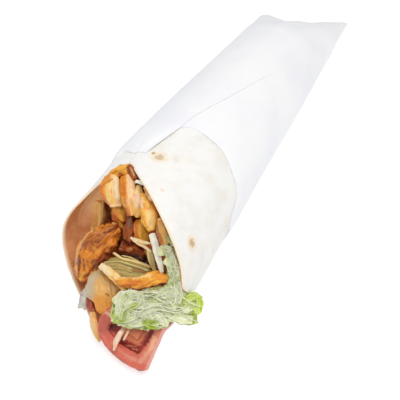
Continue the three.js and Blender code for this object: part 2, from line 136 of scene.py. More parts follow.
def roughen(piece, size, height, middle=0.5):
    texture = bpy.data.textures.new(piece.name + "Relief", "CLOUDS")
    texture.noise_scale = size * mm
    texture.noise_depth = 2
    modifier = piece.modifiers.new("relief", "DISPLACE")
    modifier.texture = texture
    modifier.strength = height * mm
    modifier.mid_level = middle
    modifier.texture_coords = "LOCAL"
    applyModifiers(piece)
    bpy.data.textures.remove(texture)


def remesh(piece, voxel, rounds):
    modifier = piece.modifiers.new("remesh", "REMESH")
    modifier.mode = "VOXEL"
    modifier.voxel_size = voxel * mm
    modifier = piece.modifiers.new("smooth", "SMOOTH")
    modifier.factor = 0.5
    modifier.iterations = rounds
    applyModifiers(piece)


def softCopy(nodeName, name, voxel, rounds, size, height, middle=0.5):  # a CAD node's shape, made softer
    piece = addObject(name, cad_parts[nodeName].data.copy())
    piece.data.materials.clear()
    mergeDoubles(piece)
    remesh(piece, voxel, rounds)
    roughen(piece, size, height, middle)
    return piece


def paint(piece, name, value):  # a number at each vertex, for the materials to read
    attribute = piece.data.attributes.new(name, "FLOAT", "POINT")
    attribute.data.foreach_set("value", [value(v) for v in piece.data.vertices])


def finishPiece(piece, material, slot, *nodes):
    piece.data.materials.clear()
    piece.data.materials.append(material)
    makeActive(piece)
    bpy.ops.object.shade_smooth()
    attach(piece, "root")
    if nodes:
        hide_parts(*nodes)


# The camera looks straight at the filling. Its focal length is in points of the 400 by 400 picture.
view = {"target": rollStart + Vector((10, 62, 24)), "away": 335.0, "focal": 777.0, "picture": 400}
pictureMiddle = view["picture"] / 2
cameraPlace = view["target"] + proud * view["away"]


def onPicture(place):  # where a place in metres shows in the picture
    q = place / mm - cameraPlace
    scale = view["focal"] / -q.dot(proud)
    return pictureMiddle + scale * q.dot(across), pictureMiddle - scale * q.dot(up)


def fromPicture(x, y, p):  # the place in metres that shows there, this far proud of the mouth's middle
    right, high = ((x - pictureMiddle) / view["focal"]), ((pictureMiddle - y) / view["focal"])
    ray = across * right + up * high - proud
    return (cameraPlace + ray * ((cameraPlace - mouthCentre).dot(proud) - p)) * mm


def treeOf(*pieces):  # what a ray can land on
    mesh = bmesh.new()
    for piece in pieces:
        mesh.from_mesh(piece.data)
    tree = BVHTree.FromBMesh(mesh)
    mesh.free()
    return tree


def landing(tree, x, y):  # where the line of sight through a picture point meets what the tree holds
    aboveAll = 60
    start = fromPicture(x, y, aboveAll)
    return tree.ray_cast(start, (fromPicture(x, y, 0) - start).normalized())[:2]


def curveAt(stations, t):  # a smooth curve through evenly spaced stations of any numbers
    last = len(stations) - 1
    i = min(last - 1, int(t * last))
    f = t * last - i
    before, a, b, after = (stations[max(0, min(last, k))] for k in (i - 1, i, i + 1, i + 2))
    return [0.5 * (2 * q + (r - p) * f + (2 * p - 5 * q + 4 * r - s) * f * f
                   + (3 * q - p - 3 * r + s) * f ** 3) for p, q, r, s in zip(before, a, b, after)]


def roundCorners(corners, rounds):  # a closed outline, each corner cut again and again
    for _ in range(rounds):
        pairs = list(zip(corners, corners[1:] + corners[:1]))
        corners = [tuple(mix(a, b, k) for a, b in zip(p, q)) for p, q in pairs for k in (0.25, 0.75)]
    return corners


sections = {  # outlines across a piece, from its left side (-1) to its right (1), back (-1) to front (1)
    "roof": [(-1, -0.5), (-1, 0.1), (-0.05, 1), (0.1, 1), (1, 0.45), (1, -0.6), (0.6, -1), (-0.6, -1)],
    "slab": [(-1, -0.8), (-1, 0.7), (-0.8, 1), (0.8, 1), (1, 0.7), (1, -0.8)],
    "round": [(-1, -0.5), (-1, 0.4), (-0.45, 1), (0.45, 1), (1, 0.4), (1, -0.5), (0.5, -1), (-0.5, -1)],
    "bar": [(-1, -1), (-1, 0.85), (-0.35, 1), (0.9, 0.75), (1, -1)],
}
reliefRates = {  # noise steps to a millimetre across a piece and along it, and how far the noise is shifted
    "fibre": (1.5, 0.16, 1), "lump": (0.5, 0.45, 2), "grain": (3, 3, 1),
}


def sweptPiece(name, stations, thick, section="round", cap=1.2, blunt=2.5, ragged=0.5, fibre=0.2, lump=0.35,
               grain=0.06, around=56, rows=64, seed=1, hollow=0):
    # stations: picture x and y of the middle line, width to its left and right, how far proud its front is
    # cap is the length of the ends and blunt how square they are; ragged, fibre, lump and grain are heights
    outline = roundCorners(sections[section], 2)
    corners = len(outline)
    middles = [fromPicture(x, y, front - thick / 2) / mm for x, y, _, _, front in stations]
    full = [(*middle, left, right) for middle, (_, _, left, right, _) in zip(middles, stations)]
    length = sum((b - a).length for a, b in zip(middles, middles[1:]))
    shift = Vector((seed * 7.3, seed * 3.1, seed * 5.7))
    endCrowding, nearby, tornRate = 0.75, 0.02, 1.1

    def relief(kind, over, out, down):
        acrossRate, alongRate, shifts = reliefRates[kind]
        return noise.noise(Vector((over * acrossRate, out * acrossRate, down * alongRate)) + shift * shifts)

    def place(c, r):
        t = mix(r, (1 - math.cos(math.pi * r)) / 2, endCrowding)
        x, y, z, left, right = curveAt(full, t)
        ahead = Vector(curveAt(full, min(1, t + nearby))[:3]) - Vector(curveAt(full, max(0, t - nearby))[:3])
        tangent = ahead.normalized()
        side = proud.cross(tangent).normalized()
        front = tangent.cross(side)
        if front.dot(proud) < 0:
            front = front * -1
        end = min(1, min(t, 1 - t) * length / cap)
        size = (1 - (1 - end) ** blunt) ** (1 / blunt)
        k = (c % 1) * corners
        s, h = (mix(a, b, k % 1) for a, b in zip(outline[int(k) % corners], outline[(int(k) + 1) % corners]))
        over = s * (left if s < 0 else right) * size
        out = h * thick / 2 * size - hollow * s * s
        at = Vector((over, out, 0))
        push = at.normalized() if at.length > 0.01 else Vector((0, 1, 0))
        down = t * length
        at += push * (fibre * relief("fibre", over, out, down) + lump * relief("lump", over, out, down)
                      + grain * relief("grain", over, out, down)) * size
        torn = ragged * noise.noise(Vector((over * tornRate, out * tornRate, 3)) + shift)
        torn *= (1 - smoothStep(end, 0.4, 1.8)) * (-1 if t < 0.5 else 1)
        return (Vector((x, y, z)) + side * at.x + front * at.y + tangent * torn) * mm
    piece = gridPiece(name, around, rows, place)
    mergeDoubles(piece, 0.003)
    facesOut(piece)
    return piece


print("stage: tones and brush")
tones = {
    "cream": rgb(252, 228, 184), "pale": rgb(252, 220, 150), "peach": rgb(252, 208, 150),
    "gold": rgb(250, 188, 74), "amber": rgb(238, 148, 44), "spice": rgb(212, 106, 36),
    "brown": rgb(172, 88, 36), "char": rgb(112, 42, 16), "maroon": rgb(62, 18, 8),
    "olive": rgb(200, 154, 70), "tan": rgb(226, 176, 98), "rose": rgb(244, 202, 170),
    "grey": rgb(198, 184, 156), "herb": rgb(84, 92, 22), "violet": rgb(158, 118, 92),
    "white": rgb(246, 244, 228), "leafPale": rgb(234, 240, 196), "leafMid": rgb(216, 226, 168),
    "leafGreen": rgb(178, 194, 112), "leafBright": rgb(160, 186, 8), "leafShade": rgb(112, 124, 66),
    "leafGapShadow": rgb(74, 88, 44), "leafOlive": rgb(188, 164, 92), "leafCream": rgb(240, 237, 218),
    "leafLime": rgb(214, 232, 110), "straw": rgb(222, 206, 140), "mauve": rgb(184, 88, 68),
    "ice": rgb(204, 202, 194), "salmon": rgb(222, 112, 92), "blush": rgb(232, 144, 118),
    "ruby": rgb(158, 42, 24), "garnet": rgb(112, 22, 12), "rust": rgb(222, 132, 92),
    "skin": rgb(140, 96, 92), "mauvePink": rgb(196, 102, 84),
}


def strokeAt(x, y, points, width):  # how much a brush stroke covers a picture point; width in picture points
    full, gone = 0.25 * width, 0.75 * width
    nearest = math.inf
    for (ax, ay), (bx, by) in zip(points, points[1:] or points):
        dx, dy = bx - ax, by - ay
        t = max(0, min(1, ((x - ax) * dx + (y - ay) * dy) / (dx * dx + dy * dy or 1)))
        nearest = min(nearest, math.hypot(x - ax - t * dx, y - ay - t * dy))
    return 1 - smoothStep(nearest, full, gone)


def tint(piece, base, pale=None, paleAndLitSide=(0, 0, 1), strokes=(), wander=0.9, deep="spice", hollow=0.5,
         edge=None):
    # pale lies on the side that faces the given direction (across, up, proud): partly a cut face's own paler
    # colour, partly painted light on the side the lamps reach.
    # deep is painted shade in hollows, edge lies on what faces away, and wander is how far in picture points
    # the strokes' borders stray
    toward = (across * paleAndLitSide[0] + up * paleAndLitSide[1] + proud * paleAndLitSide[2]).normalized()
    shakeRate, shakeReach, wanderRate, hollowShadeGain = 0.8, 0.3, 1.1, 14
    mesh = bmesh.new()
    mesh.from_mesh(piece.data)
    mesh.verts.ensure_lookup_table()
    colors = []
    for v in mesh.verts:
        q = v.co / mm
        shake = noise.noise(q * shakeRate)
        color = Vector(tones[base])
        if pale:
            # painted light, in part: the pale tone on the side toward the lamps, which is also a cut face's
            # own paler colour
            facing = smoothStep(v.normal.dot(toward) + shakeReach * shake, 0.15, 0.75)
            color = color.lerp(Vector(tones[pale]), facing)
        around = [e.other_vert(v).co for e in v.link_edges]
        pit = (sum(around, Vector()) / len(around) - v.co).dot(v.normal) / mm
        # painted shade: the deep tone darkens hollows
        color = color.lerp(Vector(tones[deep]), min(0.8, max(0, pit * hollowShadeGain * hollow)))
        x, y = onPicture(v.co)
        x += wander * noise.noise(q * wanderRate + Vector((5, 1, 2)))
        y += wander * noise.noise(q * wanderRate + Vector((1, 8, 4)))
        for tone, width, strength, points in strokes:
            color = color.lerp(Vector(tones[tone]), strength * strokeAt(x, y, points, width))
        if edge:
            turned = 1 - smoothStep(v.normal.dot(proud), 0.05, 0.55)
            color = color.lerp(Vector(tones[edge]), turned * smoothStep(shake, -0.5, 0.3) * 0.75)
        colors.extend(color)
    mesh.free()
    attribute = piece.data.attributes.new("tint", "FLOAT_COLOR", "POINT")
    attribute.data.foreach_set("color", colors)


print("stage: shared shader groups")


def feed(tree, socket, value):  # a link where the value is another node's output
    if isinstance(value, bpy.types.NodeSocket):
        tree.links.new(value, socket)
    else:
        socket.default_value = value


def newGroup(name, *inputs):  # a node group that puts out one mask
    group = bpy.data.node_groups.new(name, "ShaderNodeTree")
    for socket, kind, value in inputs:
        made = group.interface.new_socket(socket, in_out="INPUT", socket_type=kind)
        made.default_value = value
    group.interface.new_socket("Mask", in_out="OUTPUT", socket_type="NodeSocketFloat")
    return group, group.nodes.new("NodeGroupInput"), group.nodes.new("NodeGroupOutput")


def mapRange(tree, value, low, high, start=0.0, end=1.0):
    node = tree.nodes.new("ShaderNodeMapRange")
    node.interpolation_type = "SMOOTHSTEP"
    given = {"Value": value, "From Min": low, "From Max": high, "To Min": start, "To Max": end}
    for socket, number in given.items():
        feed(tree, node.inputs[socket], number)
    return node.outputs["Result"]


def noiseNode(tree, vector, scale, detail=3.0):
    node = tree.nodes.new("ShaderNodeTexNoise")
    for socket, value in {"Vector": vector, "Scale": scale, "Detail": detail, "Roughness": 0.55}.items():
        feed(tree, node.inputs[socket], value)
    return node.outputs["Fac"]


def mathNode(tree, operation, first, second):
    node = tree.nodes.new("ShaderNodeMath")
    node.operation = operation
    for socket, value in zip(node.inputs, (first, second)):
        feed(tree, socket, value)
    return node.outputs["Value"]


def mixColor(tree, mask, first, second):
    node = tree.nodes.new("ShaderNodeMix")
    node.data_type = "RGBA"
    for socket, value in zip((node.inputs[0], node.inputs[6], node.inputs[7]), (mask, first, second)):
        feed(tree, socket, value)
    return node.outputs[2]


# Blotches of a given size in millimetres
def makeMottle():
    group, given, made = newGroup(
        "mottle", ("Size", "NodeSocketFloat", 3.0), ("Shift", "NodeSocketVector", (0, 0, 0)),
        ("Low", "NodeSocketFloat", 0.4), ("High", "NodeSocketFloat", 0.6))
    coordinates = group.nodes.new("ShaderNodeTexCoord")
    shift = group.nodes.new("ShaderNodeVectorMath")
    group.links.new(coordinates.outputs["Object"], shift.inputs[0])
    group.links.new(given.outputs["Shift"], shift.inputs[1])
    scale = mathNode(group, "DIVIDE", 1000.0, given.outputs["Size"])
    blotches = noiseNode(group, shift.outputs["Vector"], scale, 4.0)
    mask = mapRange(group, blotches, given.outputs["Low"], given.outputs["High"])
    group.links.new(mask, made.inputs["Mask"])
    return group


# A toasted spot on the bread, centred on a place in metres
def makeToastSpot():
    group, given, made = newGroup(
        "toastSpot", ("Centre", "NodeSocketVector", (0, 0, 0)), ("Size", "NodeSocketFloat", 3.0))
    coordinates = group.nodes.new("ShaderNodeTexCoord")
    away = group.nodes.new("ShaderNodeVectorMath")
    away.operation = "DISTANCE"
    group.links.new(coordinates.outputs["Object"], away.inputs[0])
    group.links.new(given.outputs["Centre"], away.inputs[1])
    wander = noiseNode(group, coordinates.outputs["Object"], 900.0)
    millimetres = mathNode(group, "MULTIPLY", away.outputs["Value"], 1000.0)
    radii = mathNode(group, "DIVIDE", millimetres, given.outputs["Size"])
    uneven = mathNode(group, "ADD", radii, mathNode(group, "SUBTRACT", wander, 0.5))
    group.links.new(mapRange(group, uneven, 0.1, 1.15, 1.0, 0.0), made.inputs["Mask"])
    return group


mottleGroup, toastGroup = makeMottle(), makeToastSpot()


def useGroup(tree, group, **values):
    node = tree.nodes.new("ShaderNodeGroup")
    node.node_tree = group
    for name, value in values.items():
        node.inputs[name].default_value = value
    return node.outputs["Mask"]


def mottle(tree, size, low, high, shift=(0, 0, 0)):
    return useGroup(tree, mottleGroup, Size=size, Low=low, High=high, Shift=shift)


def newMaterial(name, roughness=0.5, coat=0.0, sheen=0.0, flesh=0.0, fleshRadius=(1.0, 0.45, 0.25),
                fleshDepth=1.5):
    # flesh is how much light wanders inside, fleshDepth how far in millimetres
    material = bpy.data.materials.new(name)
    material.use_nodes = True
    tree = material.node_tree
    shader = tree.nodes["Principled BSDF"]
    finish = {"Roughness": roughness, "Coat Weight": coat, "Coat Roughness": 0.25, "Specular IOR Level": 0.35,
              "Sheen Weight": sheen, "Subsurface Weight": flesh, "Subsurface Radius": fleshRadius,
              "Subsurface Scale": fleshDepth * mm}
    for socket, value in finish.items():
        shader.inputs[socket].default_value = value
    return material, tree, shader


def attributeNode(tree, name):
    node = tree.nodes.new("ShaderNodeAttribute")
    node.attribute_name = name
    return node


def attributeValue(tree, name):
    return attributeNode(tree, name).outputs["Fac"]


def paintedColors(tree, saturation, value):  # the tint painted on a piece, and a richer, darker one
    painted = attributeNode(tree, "tint").outputs["Color"]
    richer = tree.nodes.new("ShaderNodeHueSaturation")
    for socket, number in {"Saturation": saturation, "Value": value, "Color": painted}.items():
        feed(tree, richer.inputs[socket], number)
    return painted, richer.outputs["Color"]


def addBump(tree, shader, height, distance, strength=1.0):
    bump = tree.nodes.new("ShaderNodeBump")
    for socket, value in {"Distance": distance * mm, "Strength": strength, "Height": height}.items():
        feed(tree, bump.inputs[socket], value)
    tree.links.new(bump.outputs["Normal"], shader.inputs["Normal"])


def objectNoise(tree, size, detail=3.0, stretch=None, turn=(0, 0, 0)):  # on object coordinates, size in mm
    vector = tree.nodes.new("ShaderNodeTexCoord").outputs["Object"]
    if stretch:
        mapping = tree.nodes.new("ShaderNodeMapping")
        mapping.vector_type = "TEXTURE"
        mapping.inputs["Rotation"].default_value = turn
        mapping.inputs["Scale"].default_value = (stretch, 1, 1)
        tree.links.new(vector, mapping.inputs["Vector"])
        vector = mapping.outputs["Vector"]
    return noiseNode(tree, vector, 1000.0 / size, detail)


print("stage: paper")
roll = {"radius": 32.6, "taper": 0.053, "restFlat": 0.5, "sway": 1.2, "swayReach": (80, 170),
        "pressStart": 165, "breadEnd": 158}
lipLean = {"in": 3.6, "inAt": 138, "out": 1.4, "outAt": 180, "from": 24, "to": 52}
tail = {"right": Vector((21, 231, 16.5)), "left": Vector((-20, 196, 25)), "thin": 1.0, "fold": 5.0,
        "dip": 5.0, "lift": 4.0}
bread = {"wall": 1.1, "thick": 1.7, "lipThick": 1.15, "lapAngle": 111, "lapStep": 0.9, "lapSlope": 0.6,
         "lapFade": (12, 215), "wave": 0.3, "ripple": 0.25, "grid": (200, 110)}
paper = {"thick": 0.22, "wave": 0.22, "tailWave": 0.8, "edgeTuck": 5.0, "edgeSlack": 0.3, "floorGap": 0.02,
         "skinGrid": (150, 120)}
lap = {"rise": 0.14, "sink": -0.6, "turn": 78, "short": 4, "ripple": 0.12, "edgeDip": 0.2, "grid": (48, 110)}
# Angle round the roll in degrees, and how far behind the lip the edge lies there
paperFront = [
    (-90, 49), (-20, 50), (2, 52.2), (7, 56), (15, 61), (31, 63.5), (50, 67.6), (62, 68.3), (90, 68.3),
    (98, 60), (106, 47.6), (116, 47.5), (131, 50.4), (140, 48), (148, 49), (158, 52), (170, 56), (215, 53),
    (270, 49)]
lapFront = [
    (101, 46.2), (116, 46.7), (131, 49.6), (140, 47.2), (148, 48.2), (158, 51.2), (170, 55.2), (181, 54.6)]
# How far behind the lip, and the angle that the lap's free edge has reached there
seamLine = [
    (46, 101.4), (52, 98.8), (60, 95.5), (70, 91.4), (80, 87), (93, 79), (107, 71), (122, 63), (134, 54),
    (149, 44), (165, 36)]


def along(stations, at):  # a smooth curve through (place, value) stations
    after = next((k for k, s in enumerate(stations) if s[0] > at), None)
    if after is None:
        return stations[-1][1]
    if after == 0:
        return stations[0][1]

    def slope(k):
        a, b = stations[max(0, k - 1)], stations[min(len(stations) - 1, k + 1)]
        return (b[1] - a[1]) / (b[0] - a[0])
    (x0, v0), (x1, v1) = stations[after - 1], stations[after]
    t = (at - x0) / (x1 - x0)
    turns = (x1 - x0) * (slope(after - 1) * t * (1 - t) ** 2 - slope(after) * t * t * (1 - t))
    return mix(v0, v1, t * t * (3 - 2 * t)) + turns


def outwardAt(angle):
    return Vector((math.cos(math.radians(angle)), 0, math.sin(math.radians(angle))))


def ringNoise(angle, y, rate, yRate, xShift=0, zShift=0):  # noise that meets itself round the roll
    turn = math.radians(angle)
    return noise.noise(Vector((math.cos(turn) * rate + xShift, y * yRate, math.sin(turn) * rate + zShift)))


def rollPoint(angle, y, inset):  # on the roll, this far in from its outside, from the lip on the floor
    inLean, outLean = (max(0, math.cos(math.radians(angle - lipLean[at]))) ** 6 for at in ("inAt", "outAt"))
    lean = lipLean["in"] * inLean - lipLean["out"] * outLean
    outer = roll["radius"] - roll["taper"] * y
    radius = outer - inset - lean * (1 - smoothStep(y, lipLean["from"], lipLean["to"]))
    turn = math.radians(angle)
    z = outer - roll["restFlat"] + radius * math.sin(turn)
    sway = roll["sway"] * smoothStep(y, *roll["swayReach"])
    return Vector((radius * math.cos(turn) + sway, y, max(z, inset)))


def tailPoint(angle):  # the pressed edge: thin at the right, a raised fold at the left
    turn = math.radians(angle)
    share = (1 + math.cos(turn)) / 2
    fold = smoothStep(1 - share, 0.45, 1)
    place = tail["left"].lerp(tail["right"], share)
    dip = tail["dip"] * math.sin(math.pi * share) ** 2
    thick = mix(tail["thin"], tail["fold"], fold)
    return place + Vector((0, -dip, tail["lift"] * fold - dip + thick * math.sin(turn)))


def paperWave(angle, y, share):  # soft folds that run along the roll, deeper towards the pressed tail
    folds = ringNoise(angle, y, 3.1, 0.022, zShift=5)
    ripples = ringNoise(angle, y, 9, 0.07, xShift=3)
    creases = abs(ringNoise(angle, y, 2.3, 0.03, xShift=9)) - 0.2
    deep = mix(paper["wave"], paper["tailWave"], smoothStep(share, 0.75, 1.45))
    return deep * (folds + 0.3 * ripples - 0.7 * creases)


def tuck(angle):  # how far the left bread layer lies under the right one
    at, slope, (fadeStart, fadeEnd) = bread["lapAngle"], bread["lapSlope"], bread["lapFade"]
    under = smoothStep(angle, at - slope, at + slope) * (1 - smoothStep(angle, at + fadeStart, fadeEnd))
    return bread["lapStep"] * under


def frontTuck(angle, y):  # the paper's front bends in onto the bread
    behind = max(0, y - along(paperFront, angle))
    return (bread["wall"] + tuck(angle) - paper["edgeSlack"]) * math.exp(-behind / paper["edgeTuck"])


def paperPoint(angle, share):  # share 0 at the front edge, 1 where the paper starts to close, 2 at the tail
    front = along(paperFront, angle)
    if share <= 1:
        y = mix(front, roll["pressStart"], share)
        place = rollPoint(angle, y, frontTuck(angle, y))
    else:
        end = tailPoint(angle)
        y = mix(roll["pressStart"], end.y, share - 1)
        place = rollPoint(angle, y, 0).lerp(end, smoothStep(share - 1, 0, 1))
    quiet = 1 - smoothStep(share, 1.8, 2)
    place += outwardAt(angle) * paperWave(angle, y, share) * quiet
    place.z = max(place.z, paper["floorGap"])
    return place


def makePaperSkin():
    def place(c, r):
        return (rollStart + paperPoint(-90 + 360 * c, 2 * r)) * mm
    piece = gridPiece("paperSkin", *paper["skinGrid"], place)
    mergeDoubles(piece)
    # the last ring is filled, which closes the tail
    mesh = bmesh.new()
    mesh.from_mesh(piece.data)
    tailY = (rollStart.y + tail["left"].y - 12) * mm
    ring = [e for e in mesh.edges if e.is_boundary and min(v.co.y for v in e.verts) > tailY]
    bmesh.ops.holes_fill(mesh, edges=ring, sides=0)
    bmesh.ops.triangulate(mesh, faces=[f for f in mesh.faces if len(f.verts) > 4])
    mesh.to_mesh(piece.data)
    mesh.free()
    facesOut(piece)
    thicken(piece, paper["thick"])
    return piece


def makePaperLap():  # the upper layer: a free edge over the top, and far sides that sink into the skin
    lapEnd = roll["pressStart"] - lap["short"]
    frontY = lapFront[0][1]

    def place(c, r):
        turn = lap["turn"] * c ** 1.4
        front = along(lapFront, along(seamLine, frontY) + turn)
        angle, y = along(seamLine, mix(frontY, lapEnd, r)) + turn, mix(front, lapEnd, r)
        skinFront = along(paperFront, angle)
        share = max(0, (y - skinFront) / (roll["pressStart"] - skinFront))
        sunk = max(0.7 * c, smoothStep(y, 115, lapEnd - 6))
        rise = mix(lap["rise"], lap["sink"], sunk) + lap["ripple"] * noise.noise(Vector((y * 0.15, c * 4, 1)))
        rise -= lap["edgeDip"] * math.exp(-(y - front) / 2)
        spot = rollPoint(angle, y, frontTuck(angle, y))
        return (rollStart + spot + outwardAt(angle) * (paperWave(angle, y, share) + rise)) * mm
    piece = gridPiece("paperLap", *lap["grid"], place)
    thicken(piece, paper["thick"])
    facesOut(piece)
    return piece


def paperMaterial():
    material, tree, shader = newMaterial("foodPaper", roughness=0.62, sheen=0.05)
    white = mixColor(tree, mottle(tree, 30.0, 0.35, 0.7), rgb(252, 252, 252), rgb(246, 246, 250))
    tree.links.new(white, shader.inputs["Base Color"])
    creases = objectNoise(tree, 9.0, 4.0, 3.0, (0, 0, math.radians(90)))
    fibres = objectNoise(tree, 0.7, 2.0)
    height = mathNode(tree, "ADD", creases, mathNode(tree, "MULTIPLY", fibres, 0.05))
    addBump(tree, shader, height, 1.0, 0.35)
    return material


paperSkin, paperLap = makePaperSkin(), makePaperLap()
paperFinish = paperMaterial()
finishPiece(paperSkin, paperFinish, "paper", "paper_wrapper")
finishPiece(paperLap, paperFinish, "paper", "paper_wrapper")

print("stage: flatbread")
lipLine = [  # angle round the roll, and where the lip lies there
    (-90, -3.2), (-75, -2), (-60, 0.2), (-42, 2.5), (-28, 8), (-12, 13.5), (2, 9.8), (12, 7.6), (24, 10.5),
    (36, 13.2), (57, 19), (75, 25.5), (91, 32), (111, 40), (118, 39), (125, 37), (132, 35.2), (148, 32.8),
    (156, 29.5), (165, 24.5), (178, 20), (200, 15), (220, 10.2), (240, 4.8), (258, -1.5), (270, -3.2)]


def breadAngle(share):  # columns crowd where the two layers cross
    angle = -90 + 360 * share
    off = angle - bread["lapAngle"]
    return angle - 3.2 * math.sin(math.radians(off * 6)) * math.exp(-(off / 30) ** 2)


def breadPoint(angle, share):  # share 0 at the hidden inner end, 0.5 at the lip, 1 at the hidden outer end
    lip = along(lipLine, angle) + bread["ripple"] * noise.noise(Vector((angle * 0.12, 3, 0)))
    back = abs(share - 0.5) * 2
    y = mix(lip, roll["breadEnd"], min(1, back ** 2.2)) if back > 0.12 else lip  # rows crowd at the lip
    behind = y - lip
    thick = mix(bread["lipThick"], bread["thick"], smoothStep(behind, 0, 12))
    side = max(-1, min(1, (0.5 - share) / 0.06))  # 1 inside, -1 outside, rounded over the lip
    inset = bread["wall"] + tuck(angle) + thick * (1 + side) / 2
    y -= math.sqrt(max(0, 1 - side * side)) * thick * 0.5
    wave = bread["wave"] * ringNoise(angle, y, 2.2, 0.06)
    return rollPoint(angle, y, inset + wave * smoothStep(behind, 0, 10))


upperLightBorder = {"left": 80, "slope": 0.7, "reach": (188, 226)}  # in the picture, where the painted light on the upper inner wall gives way to the stain


def upperWallLight(v):  # painted light: the upper inner wall is painted lighter, as if lit from above
    x, y = onPicture(v.co)
    return 1 - smoothStep(y - upperLightBorder["slope"] * (x - upperLightBorder["left"]), *upperLightBorder["reach"])


def makeFlatbread():
    def place(c, r):
        return (rollStart + breadPoint(breadAngle(c), r)) * mm
    piece = gridPiece("flatbreadSheet", *bread["grid"], place)
    mergeDoubles(piece, 0.002)
    facesOut(piece)

    def fromLip(v):  # millimetres behind the lip
        spot = v.co / mm - rollStart
        high = spot.z - roll["radius"] + roll["taper"] * spot.y + roll["restFlat"]
        angle = math.degrees(math.atan2(high, spot.x))
        return max(0, spot.y - along(lipLine, angle if angle > -90 else angle + 360))

    def inner(v):  # 1 on the side that faces the filling
        spot = v.co / mm - rollStart
        outward = Vector((spot.x, 0, spot.z - roll["radius"] + roll["taper"] * spot.y)).normalized()
        return smoothStep(-v.normal.dot(outward), -0.5, 0.5)
    paint(piece, "fromLip", fromLip)
    paint(piece, "inner", inner)
    paint(piece, "wallLight", upperWallLight)
    return piece


toastSpots = [  # centre from the lip on the floor, size, how brown
    ((-3.1, 47.2, 58.4), 1.3, 0.8), ((0.2, 45.9, 58.7), 4.4, 0.34), ((9.7, 30.3, 58.8), 1.5, 0.12),
    ((26.4, 21.6, 46.0), 3.6, 0.42), ((29.7, 33.2, 30.8), 1.2, 0.2), ((28.9, 48.2, 30.2), 1.1, 0.25),
    ((28.3, 58.5, 30.8), 1.2, 0.25), ((6.4, 48.1, 57.8), 3.4, 0.08), ((-21.0, 34.0, 14.0), 3.0, 0.5),
    ((14.0, 22.0, 2.5), 3.4, 0.55), ((-6.0, 12.0, 1.4), 2.6, 0.4), ((-29.0, 30.0, 30.0), 2.2, 0.35),
]


def breadMaterial():
    material, tree, shader = newMaterial("flatbread", roughness=0.7, flesh=0.1)
    flour = mixColor(tree, mottle(tree, 9.0, 0.4, 0.75), rgb(250, 248, 244), rgb(243, 239, 231))
    for centre, size, brown in toastSpots:
        spot = useGroup(tree, toastGroup, Centre=(rollStart + Vector(centre)) * mm, Size=size)
        halo = mathNode(tree, "MULTIPLY", spot, min(1, brown * 1.7))
        flour = mixColor(tree, halo, flour, rgb(240, 200, 128))
        flour = mixColor(tree, mapRange(tree, spot, 0.7, 1.0, 0.0, brown), flour, rgb(150, 108, 58))
    lip = attributeValue(tree, "fromLip")
    flour = mixColor(tree, mapRange(tree, lip, 0.0, 1.2, 0.5, 0.0), flour, rgb(250, 226, 184))
    stain = mixColor(tree, mottle(tree, 5.0, 0.35, 0.7), rgb(238, 172, 118), rgb(220, 144, 86))
    stain = mixColor(tree, mottle(tree, 2.2, 0.55, 0.8, (3, 1, 2)), stain, rgb(242, 184, 128))
    # painted light: the upper inner wall is mixed to a lighter tone
    stain = mixColor(tree, attributeValue(tree, "wallLight"), stain, rgb(252, 202, 146))
    stain = mixColor(tree, mapRange(tree, lip, 0.1, 1.3, 0.85, 0.0), stain, rgb(250, 226, 196))
    tree.links.new(mixColor(tree, attributeValue(tree, "inner"), flour, stain), shader.inputs["Base Color"])
    pores = mathNode(tree, "ADD", objectNoise(tree, 1.1), objectNoise(tree, 6.0, 2.0))
    addBump(tree, shader, pores, 0.35, 0.35)
    return material


innerFold = {  # a fold that leans on the filling: picture x, y and depth at the wall, then under the strips
    "near": [(105, 179, -8.5), (98.5, 185, -10), (92.5, 191.5, -12.2), (87, 198, -14.2), (82.5, 205, -15.8),
             (79, 212, -17.5), (77, 220, -19.3), (77.5, 228, -21.1), (79.5, 236, -22.8)],
    "far": [(113, 180, -5), (110, 187, -8), (107.5, 194, -11), (105, 201, -13.6), (103, 208, -15),
            (101, 215, -16.6), (98, 222, -18.6), (94.5, 229, -21.4), (90, 236, -24)],
    "thick": 0.9, "dip": 3.2, "edgeDip": 0.7, "wave": 0.4, "grid": (30, 50),
}


def makeInnerFold():
    def place(c, r):
        (x0, y0, p0), (x1, y1, p1) = curveAt(innerFold["near"], r), curveAt(innerFold["far"], r)
        x, y = mix(x0, x1, c), mix(y0, y1, c)
        dip = 4 * innerFold["dip"] * c * (1 - c) ** 2 + innerFold["edgeDip"] * (1 - smoothStep(c, 0, 0.12))
        wave = innerFold["wave"] * noise.noise(Vector((x * 0.09, y * 0.09, 3)))
        return fromPicture(x, y, mix(p0, p1, c) - dip + wave)
    piece = gridPiece("breadInnerFold", *innerFold["grid"], place)
    thicken(piece, innerFold["thick"], 0)
    facesOut(piece)
    paint(piece, "fromLip", lambda v: 9)
    paint(piece, "inner", lambda v: 1)
    paint(piece, "wallLight", upperWallLight)
    return piece


breadSheet, breadFinish = makeFlatbread(), breadMaterial()
finishPiece(breadSheet, breadFinish, "bread", "flatbread")
finishPiece(makeInnerFold(), breadFinish, "bread")

print("stage: filling core")


